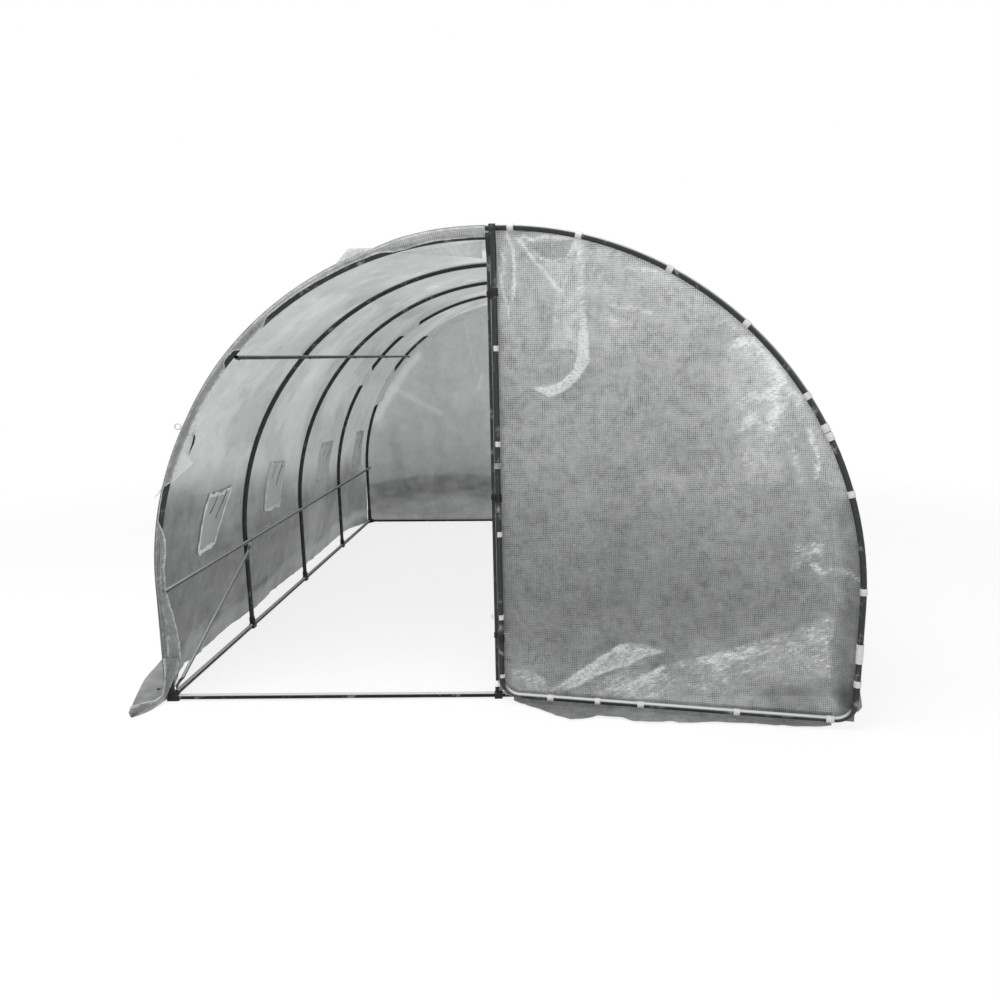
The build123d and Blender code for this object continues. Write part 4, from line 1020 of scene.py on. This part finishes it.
def leaf_film():
    """The leaf's own sheet: tight at its clips, creased from its top corner, crumpled along its foot."""
    phi = np.linspace(math.asin(0.010 / LEAF_R), math.pi / 2 - 0.010, 262)
    u = LEAF_R * np.sin(phi)
    top = LEAF_SPRING + LEAF_R * np.cos(phi)
    t = np.linspace(0, 1, 290)[:, None]
    z = 0.030 + (top - 0.030) * t
    u = np.broadcast_to(u, z.shape)
    from_bow = np.where(z > LEAF_SPRING, LEAF_R - np.hypot(u, z - LEAF_SPRING), LEAF_R - u)
    inside = np.minimum(np.minimum(from_bow, u), z - LEAF_BAR_Z)
    held = smooth(0.012, 0.16, inside)
    wrinkle = 0.0035 * wander(u + 0.3 * z, z, 0.14, 201) + 0.007 * wander(u, z, 0.42, 202)
    # near the top corner the film is gathered in upright pleats
    gather = smooth(0.16, 0.05, u) * smooth(1.35, 1.7, z)
    pleat = 0.0045 * np.sin(2 * np.pi * u / 0.045 + 2.5 * wander(z, u, 0.2, 203)) * gather
    stray = wander(u, z, 0.035, 210)
    band = np.exp(-((path_distance(u, z, J_BAND) + 0.003 * stray) / 0.019) ** 4)
    foot = patch(u, z, J_FOOT, 0.003) * smooth(1.70, 1.56, z)
    wedge = patch(u, z, TOP_WEDGE, 0.006)
    lines = np.zeros(z.shape)
    for path, width, weight in FOLDS:
        lines = np.maximum(lines,
                           weight * np.exp(-((path_distance(u, z, path) + 0.002 * stray) / width) ** 2))
    low = np.maximum(patch(u, z, LOW_LEFT, 0.010), patch(u, z, LOW_RIGHT, 0.012))
    low = np.maximum(low, 0.7 * patch(u, z, LOW_CORNER, 0.02))
    low = np.maximum(low, 0.7 * patch(u, z, LOW_MIDDLE, 0.02))
    low_far = smooth(0.30, 0.17, z) * smooth(0.62, 0.85, u)
    high = patch(u, z, HIGH_RIGHT, 0.05)
    far = patch(u, z, FAR_RIGHT, 0.02)
    shards = crumple(u + 0.8 * z, z * 1.5 - 0.4 * u, 0.10, 204)
    fine = crumple(u, z * 1.3, 0.045, 205)
    v = held * (wrinkle + 0.004) + pleat * smooth(0.0, 0.05, inside)
    v += held * (0.008 * low * (shards - 0.4) + 0.005 * high * (shards - 0.4) + 0.004 * far * fine)
    v -= held * (0.008 * band + 0.006 * foot + 0.004 * wedge + 0.008 * lines)
    v = np.clip(v, -0.018, 0.022)
    haze = 0.30 * band + 0.55 * foot + lines
    scrunch_and_glint = np.clip(0.35 + 0.18 * wander(u * 0.8 + z * 0.4, z - 0.45 * u, 0.045, 211) + 0.08 * fine,
                      0.10, 0.55)
    # painted highlight: the crumpled patches low on the leaf are whitened, partly as creased film and partly
    # as a painted highlight of their folds catching the light
    haze += low * scrunch_and_glint * (1 - 0.45 * smooth(0.95, 1.2, u)) * (1 - 0.6 * low_far)
    haze += high * np.clip(0.13 + 0.20 * wander(u, z * 0.6, 0.045, 212), 0, 0.4)
    haze += far * np.clip(0.08 + 0.16 * wander(u * 0.5, z, 0.03, 213), 0, 0.3)
    haze += (0.20 * np.exp(-(path_distance(u, z, SEEN_EDGE) / 0.006) ** 2)
             * smooth(-0.2, 0.5, wander(u, z, 0.05, 214)))
    haze += 0.12 * crumple(u + z, z - u, 0.5, 206) * smooth(0.2, 0.9, wander(u, z, 0.35, 207))
    haze += 0.07 * smooth(0.1, 0.7, wander(u * 0.35, z * 2.2, 0.06, 215)) * smooth(0.7, 1.3, z)
    rim = smooth(0.055, 0.015, from_bow) * smooth(0.9, 1.4, z)
    haze += 0.03 * rim + 0.16 * crumple(u, z, 0.12, 208) * smooth(0.11, 0.03, from_bow) * smooth(0.8, 1.3, z)
    # darker film by height, less of it where the film has been creased or pulled smooth, more in a patch at
    # the top corner, and painted shade along the lower bow
    soil_and_shade = 0.183 + 0.817 * (table(z, LEAF_DARKENING) + 0.03 * wander(u, z, 0.30, 209))
    soil_and_shade -= 0.05 * band + 0.25 * patch(u, z, J_SIDE,
                                       0.004) + 0.10 * wedge + 0.07 * low + 0.13 * high + 0.06 * far
    # a darker patch near the top corner, and painted shade: the film is darkened within 0.13 m of the bow
    # below about 1 m high
    soil_and_shade += 0.26 * patch(u, z, DARK_TOP_PATCH, 0.006) + 0.30 * smooth(0.13, 0.04, from_bow) * smooth(1.05, 0.92, z)
    soil_and_shade += 0.24 * smooth(0.22, 0.12, z) * smooth(1.0, 1.25, u) + 0.06 * low_far
    for at_u, at_z, radius, more in LEAF_SPOTS:
        soil_and_shade += more * np.exp(-(np.hypot(u - at_u, z - at_z) / radius) ** 2)
    piece = film_piece("leaf_film", LEAF_FILM, {
        "points": leaf_place(u, LEAF_FILM_V + v, z), "cut": np.stack([u, z], axis=-1), "soil_and_shade": soil_and_shade,
        "haze": haze})
    return on_leaf(piece, "woven_film", "leaf_sheet")


APRON = ((0.05, 0.004), (0.10, 0.024), (0.17, 0.055), (0.27, 0.115), (0.34, 0.140), (0.44, 0.095),
         (0.55, 0.095),
         (0.66, 0.112), (0.85, 0.075), (1.07, 0.040), (1.25, 0.045), (1.36, 0.030), (1.42, 0.006))


def leaf_apron():
    """The film left below the bottom bar. It turns out over the ground."""
    u = np.linspace(0.05, 1.42, 150)
    spill = table(u, APRON) + 0.006 * wander(u, u * 0, 0.05, 221)
    t = np.linspace(0, 1, 15)[:, None]
    drop = 0.055
    run = t * (drop + spill)
    down, forward = np.clip(run, 0, drop), np.clip(run - drop, 0, None)
    z = 0.062 - down
    ease = smooth(drop * 0.5, drop, run)
    waves = 0.010 * np.clip(wander(u[None, :] * 1.2, run * 2, 0.07, 222), 0, 1) * ease
    z = z + waves * (1 - 0.5 * t) + 0.0005
    v = LEAF_FILM_V + 0.002 - forward - 0.004 * ease
    u = np.broadcast_to(u, z.shape)
    haze = 0.02 + 0.10 * crumple(u, run * 2, 0.10, 223)
    piece = film_piece("leaf_apron", LEAF_FILM, {
        "points": leaf_place(u, v, z), "cut": np.stack([u, run], axis=-1),
        "soil_and_shade": 0.84 + 0.08 * wander(u, run, 0.12, 224), "haze": haze})
    on_leaf(piece, "woven_film")
    anchor = leaf_place(np.array(0.5), np.array(LEAF_FILM_V), np.array(0.0))
    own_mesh(piece)
    return piece


# ---- ties, rings and bolts ---------------------------------------------------------------------------
def tube(name, finish, path, radius, closed=False, sides=10):
    """A round bar or cord along a line of points."""
    mesh = bpy.data.meshes.new(name)
    path = [Vector(p) for p in path]
    count = len(path)
    points, faces = [], []
    for i, p in enumerate(path):
        a = path[(i - 1) % count] if closed or i else path[0]
        b = path[(i + 1) % count] if closed or i < count - 1 else path[-1]
        ahead = (b - a).normalized()
        side = ahead.cross(Vector((0.13, 0.31, 0.94))).normalized()
        up = ahead.cross(side)
        for k in range(sides):
            turn = 2 * math.pi * k / sides
            points.append(p + radius * (math.cos(turn) * side + math.sin(turn) * up))
    for i in range(count if closed else count - 1):
        j = (i + 1) % count
        for k in range(sides):
            m = (k + 1) % sides
            faces.append((i * sides + k, i * sides + m, j * sides + m, j * sides + k))
    if not closed:
        faces.append(tuple(range(sides))[::-1])
        faces.append(tuple((count - 1) * sides + k for k in range(sides)))
    mesh.from_pydata(points, [], faces)
    return new_piece(name, mesh, finish)


def ties():
    """A ring and a webbing tie on the front hoop, an eyelet in the loose tail and a cord on the stile."""
    centre = Vector((-1.330, -0.021, 1.243))
    ring = tube("tie_ring", CLIP_PLASTIC, [
        centre + 0.0125 * Vector((math.cos(a), 0,
                                  math.sin(a))) for a in np.linspace(0, 2 * math.pi, 24)[:-1]],
        0.0028, closed=True)
    line = [(-1.352, 0.150, 1.205), (-1.349, 0.165, 1.180), (-1.362, 0.175, 1.150), (-1.392, 0.180, 1.098)]
    run = np.linspace(0, 3, 16)
    centre_line = np.stack([np.interp(run, range(4), [p[k] for p in line]) for k in range(3)], axis=-1)
    t = np.linspace(-0.5, 0.5, 3)[:, None, None]
    points = centre_line[None] + t * np.array((0.013, 0.0, 0.004)) + 0 * t
    webbing = film_piece("webbing_tie", TIE_WEBBING, {
        "points": points,
        "cut": np.stack(np.broadcast_arrays(run[None, :] * 0.04, t[..., 0] * 0.013), axis=-1)})
    eyelet = tube("tail_eyelet", FITTING_STEEL, [
        Vector((-1.588, 0.085, 0.017)) + 0.008 * Vector((math.cos(a), math.sin(a), 0))
        for a in np.linspace(0, 2 * math.pi, 20)[:-1]], 0.0022, closed=True, sides=8)
    for piece in (ring, webbing, eyelet):
        on_tunnel(piece, "clip_plastic")
    wrap = []
    for i, a in enumerate(np.linspace(0, 5 * 2 * math.pi, 90)):
        u, v = (TUBE_R + 0.0016) * math.cos(a), (TUBE_R + 0.0016) * math.sin(a)
        wrap.append(leaf_place(np.array(u), np.array(v), np.array(1.060 + 0.0024 * a / math.pi)))
    cord = tube("stile_tie", CLIP_PLASTIC, wrap, 0.0012, sides=6)
    on_leaf(cord, "clip_plastic")
    return [ring, webbing, eyelet]


def fastener(builder, at, axis, size):
    """A hexagon bolt head on a washer, standing out along an axis."""
    turn = Vector(axis).to_track_quat("Z", "Y").to_matrix().to_4x4()
    for segments, radius, depth, shift in ((18, 1.9 * size, 0.30 * size, 0.15 * size),
                                           (6, 1.15 * size, 0.8 * size, 0.7 * size)):
        place = Matrix.Translation(Vector(at)) @ turn @ Matrix.Translation((0, 0, shift))
        bmesh.ops.create_cone(builder, cap_ends=True, segments=segments, radius1=radius,
                              radius2=radius * 0.94,
                              depth=depth, matrix=place)


def bolt_piece(name, builder):
    """Bolt heads as one flat-shaded piece."""
    mesh = bpy.data.meshes.new(name)
    builder.to_mesh(mesh)
    builder.free()
    piece = new_piece(name, mesh, ZINC)
    mesh.polygons.foreach_set("use_smooth", [False] * len(mesh.polygons))
    return piece


def bolts():
    """The bolts of the frame: purlins to hoops, braces, post heads and fittings."""
    builder = bmesh.new()
    inset = AXIS_R - TUBE_R - 2 * PURLIN_R
    for y in HOOPS:
        for side in (-1, 1):
            fastener(builder, (side * inset, y, LOW_PURLIN_Z), (-side, 0, 0), 0.0042)
            a = HIGH_PURLIN_ANGLE
            fastener(builder, (side * inset * math.cos(a), y, SPRING_Z + inset * math.sin(a)),
                     (-side * math.cos(a), 0, -math.sin(a)), 0.0042)
        if y < REAR:
            fastener(builder, (0, y, SPRING_Z + inset), (0, 0, -1), 0.0042)
        for side in (-1, 1):
            fastener(builder, (side * (AXIS_R - SLEEVE_R), y, 0.046), (-side, 0, 0), 0.0035)
    for side in (-1, 1):
        face = AXIS_R - SLEEVE_R - 0.003
        for y, z in BRACE_BOLTS:
            fastener(builder, (side * face, y, z), (-side, 0, 0), 0.0034)
    for y in (FRONT, REAR):
        fastener(builder, (0, y - 0.0168, CROWN_Z - 0.013), (0, -1, 0), 0.0055)
    on_tunnel(bolt_piece("frame_bolts", builder), "fitting_steel")
    builder = bmesh.new()
    head = leaf_place(np.array(0.0), np.array(-0.0166), np.array(LEAF_SPRING + LEAF_R))
    fastener(builder, head, -LEAF_V, 0.0055)
    on_leaf(bolt_piece("leaf_bolt", builder), "fitting_steel")


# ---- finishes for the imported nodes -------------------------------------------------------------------
def finish_frame():
    finishes = {"base_rail": RAIL_STEEL, "front_sill": RAIL_STEEL, "rear_sill": RAIL_STEEL,
                "corner_fittings": FITTING_STEEL, "hoop_feet": FITTING_STEEL, "post_feet": FITTING_STEEL,
                "door_hinges": FITTING_STEEL, "leaf_collars": FITTING_STEEL, "leaf_clips": CLIP_PLASTIC}
    for name, piece in frame["nodes"].items():
        chosen = next((f for start, f in finishes.items() if name.startswith(start)), FRAME_STEEL)
        for place in piece.material_slots:
            place.material = chosen
        if not piece.material_slots:
            piece.data.materials.append(chosen)


# ---- studio ------------------------------------------------------------------------------------------
def camera():
    data = bpy.data.cameras.new("camera")
    data.lens, data.sensor_width = 29.02, 36.0
    data.shift_x, data.shift_y = -0.0626, 0.0183
    data.clip_start, data.clip_end = 0.05, 100.0
    eye = bpy.data.objects.new("camera", data)
    bpy.context.scene.collection.objects.link(eye)
    down, turn, roll = math.radians(11.415), math.radians(-0.463), math.radians(-0.254)
    look = Vector((-math.sin(turn) * math.cos(down), math.cos(turn) * math.cos(down), -math.sin(down)))
    right = Vector((math.cos(turn), math.sin(turn), 0))
    up = right.cross(look)
    tilted_right = math.cos(roll) * right + math.sin(roll) * up
    tilted_up = math.cos(roll) * up - math.sin(roll) * right
    pose = Matrix((tilted_right, tilted_up, -look)).transposed().to_4x4()
    eye.matrix_world = Matrix.Translation((0.2672, -3.4525, 1.5305)) @ pose
    bpy.context.scene.camera = eye


def seen_ray(tree):
    """1 for the rays that the lens, gloss and glass see by, and 0 for those that light the object."""
    path = node(tree, "ShaderNodeLightPath")
    seen = node(tree, "ShaderNodeMath", {"operation": "MAXIMUM"},
                {0: (path, "Is Camera Ray"), 1: (path, "Is Glossy Ray")})
    return node(tree, "ShaderNodeMath", {"operation": "MAXIMUM"}, {0: seen, 1: (path, "Is Transmission Ray")})


def white_ground():
    """Pale floor paint. The lens, gloss and glass see it mostly white, all of it so far from the object, and
    it keeps a soft shadow."""
    made, tree = material("pale_floor_paint")
    any_view = seen_ray(tree)
    place = node(tree, "ShaderNodeTexCoord")
    away = node(tree, "ShaderNodeVectorMath", {"operation": "DISTANCE", 1: (0.0, 2.0, 0.0)},
                {0: (place, "Object")})
    brightness = node(tree, "ShaderNodeMapRange", {
        "interpolation_type": "SMOOTHSTEP", "From Min": 2.6, "From Max": 7.0, "To Min": 0.80, "To Max": 1.0},
        {"Value": (away, "Value")})
    share = node(tree, "ShaderNodeMath", {"operation": "MULTIPLY"}, {0: any_view, 1: brightness})
    paint = node(tree, "ShaderNodeBsdfDiffuse", {"Color": colour("#efefef")})
    white = node(tree, "ShaderNodeEmission", {"Color": colour("#ffffff"), "Strength": 1.0})
    both = node(tree, "ShaderNodeMixShader", links={0: share, 1: paint, 2: white})
    node(tree, "ShaderNodeOutputMaterial", links={"Surface": both})
    return made


def studio():
    mesh = bpy.data.meshes.new("floor")
    reach, count = 30.0, 25
    line = np.linspace(-reach, reach, count)
    x, y = np.meshgrid(line, line)
    points = np.stack([x, y, 0 * x - 0.0005], axis=-1).reshape(-1, 3)
    index = np.arange(count * count).reshape(count, count)
    cells = np.stack([index[:-1, :-1], index[:-1, 1:], index[1:, 1:], index[1:, :-1]], axis=-1).reshape(-1, 4)
    mesh.from_pydata(points.tolist(), [], cells.tolist())
    floor = new_piece("floor", mesh, white_ground())
    world = bpy.data.worlds.new("studio")
    bpy.context.scene.world = world
    world.use_nodes = True
    tree = world.node_tree
    tree.nodes.clear()
    any_view = seen_ray(tree)
    level = node(tree, "ShaderNodeMapRange", {"To Min": 0.62, "To Max": 1.0}, {"Value": any_view})
    sky = node(tree, "ShaderNodeBackground", {"Color": colour("#ffffff")}, {"Strength": level})
    node(tree, "ShaderNodeOutputWorld", links={"Surface": sky})
    for name, place, aim, size, power in (("overhead", (-1.5, -1.0, 6.0), (0, 1.5, 0.5), 5.0, 330.0),
                                          ("front_fill", (3.0, -6.0, 3.5), (0, 0, 1.0), 3.0, 120.0)):
        light = bpy.data.lights.new(name, "AREA")
        light.shape, light.size, light.energy = "SQUARE", size, power
        lamp = bpy.data.objects.new(name, light)
        lamp.location = place
        lamp.rotation_mode = "QUATERNION"
        lamp.rotation_quaternion = (Vector(aim) - Vector(place)).to_track_quat("-Z", "Y")
        bpy.context.scene.collection.objects.link(lamp)
    bpy.context.scene.view_settings.view_transform = "Standard"


# ---- everything together -----------------------------------------------------------------------------
finish_frame()
cover = vault_film()
window_trims = windows()
trims = front_trims()
rear, front = end_sheets()
leaf = leaf_film()
apron = leaf_apron()
small = ties()
bolts()
camera()
studio()
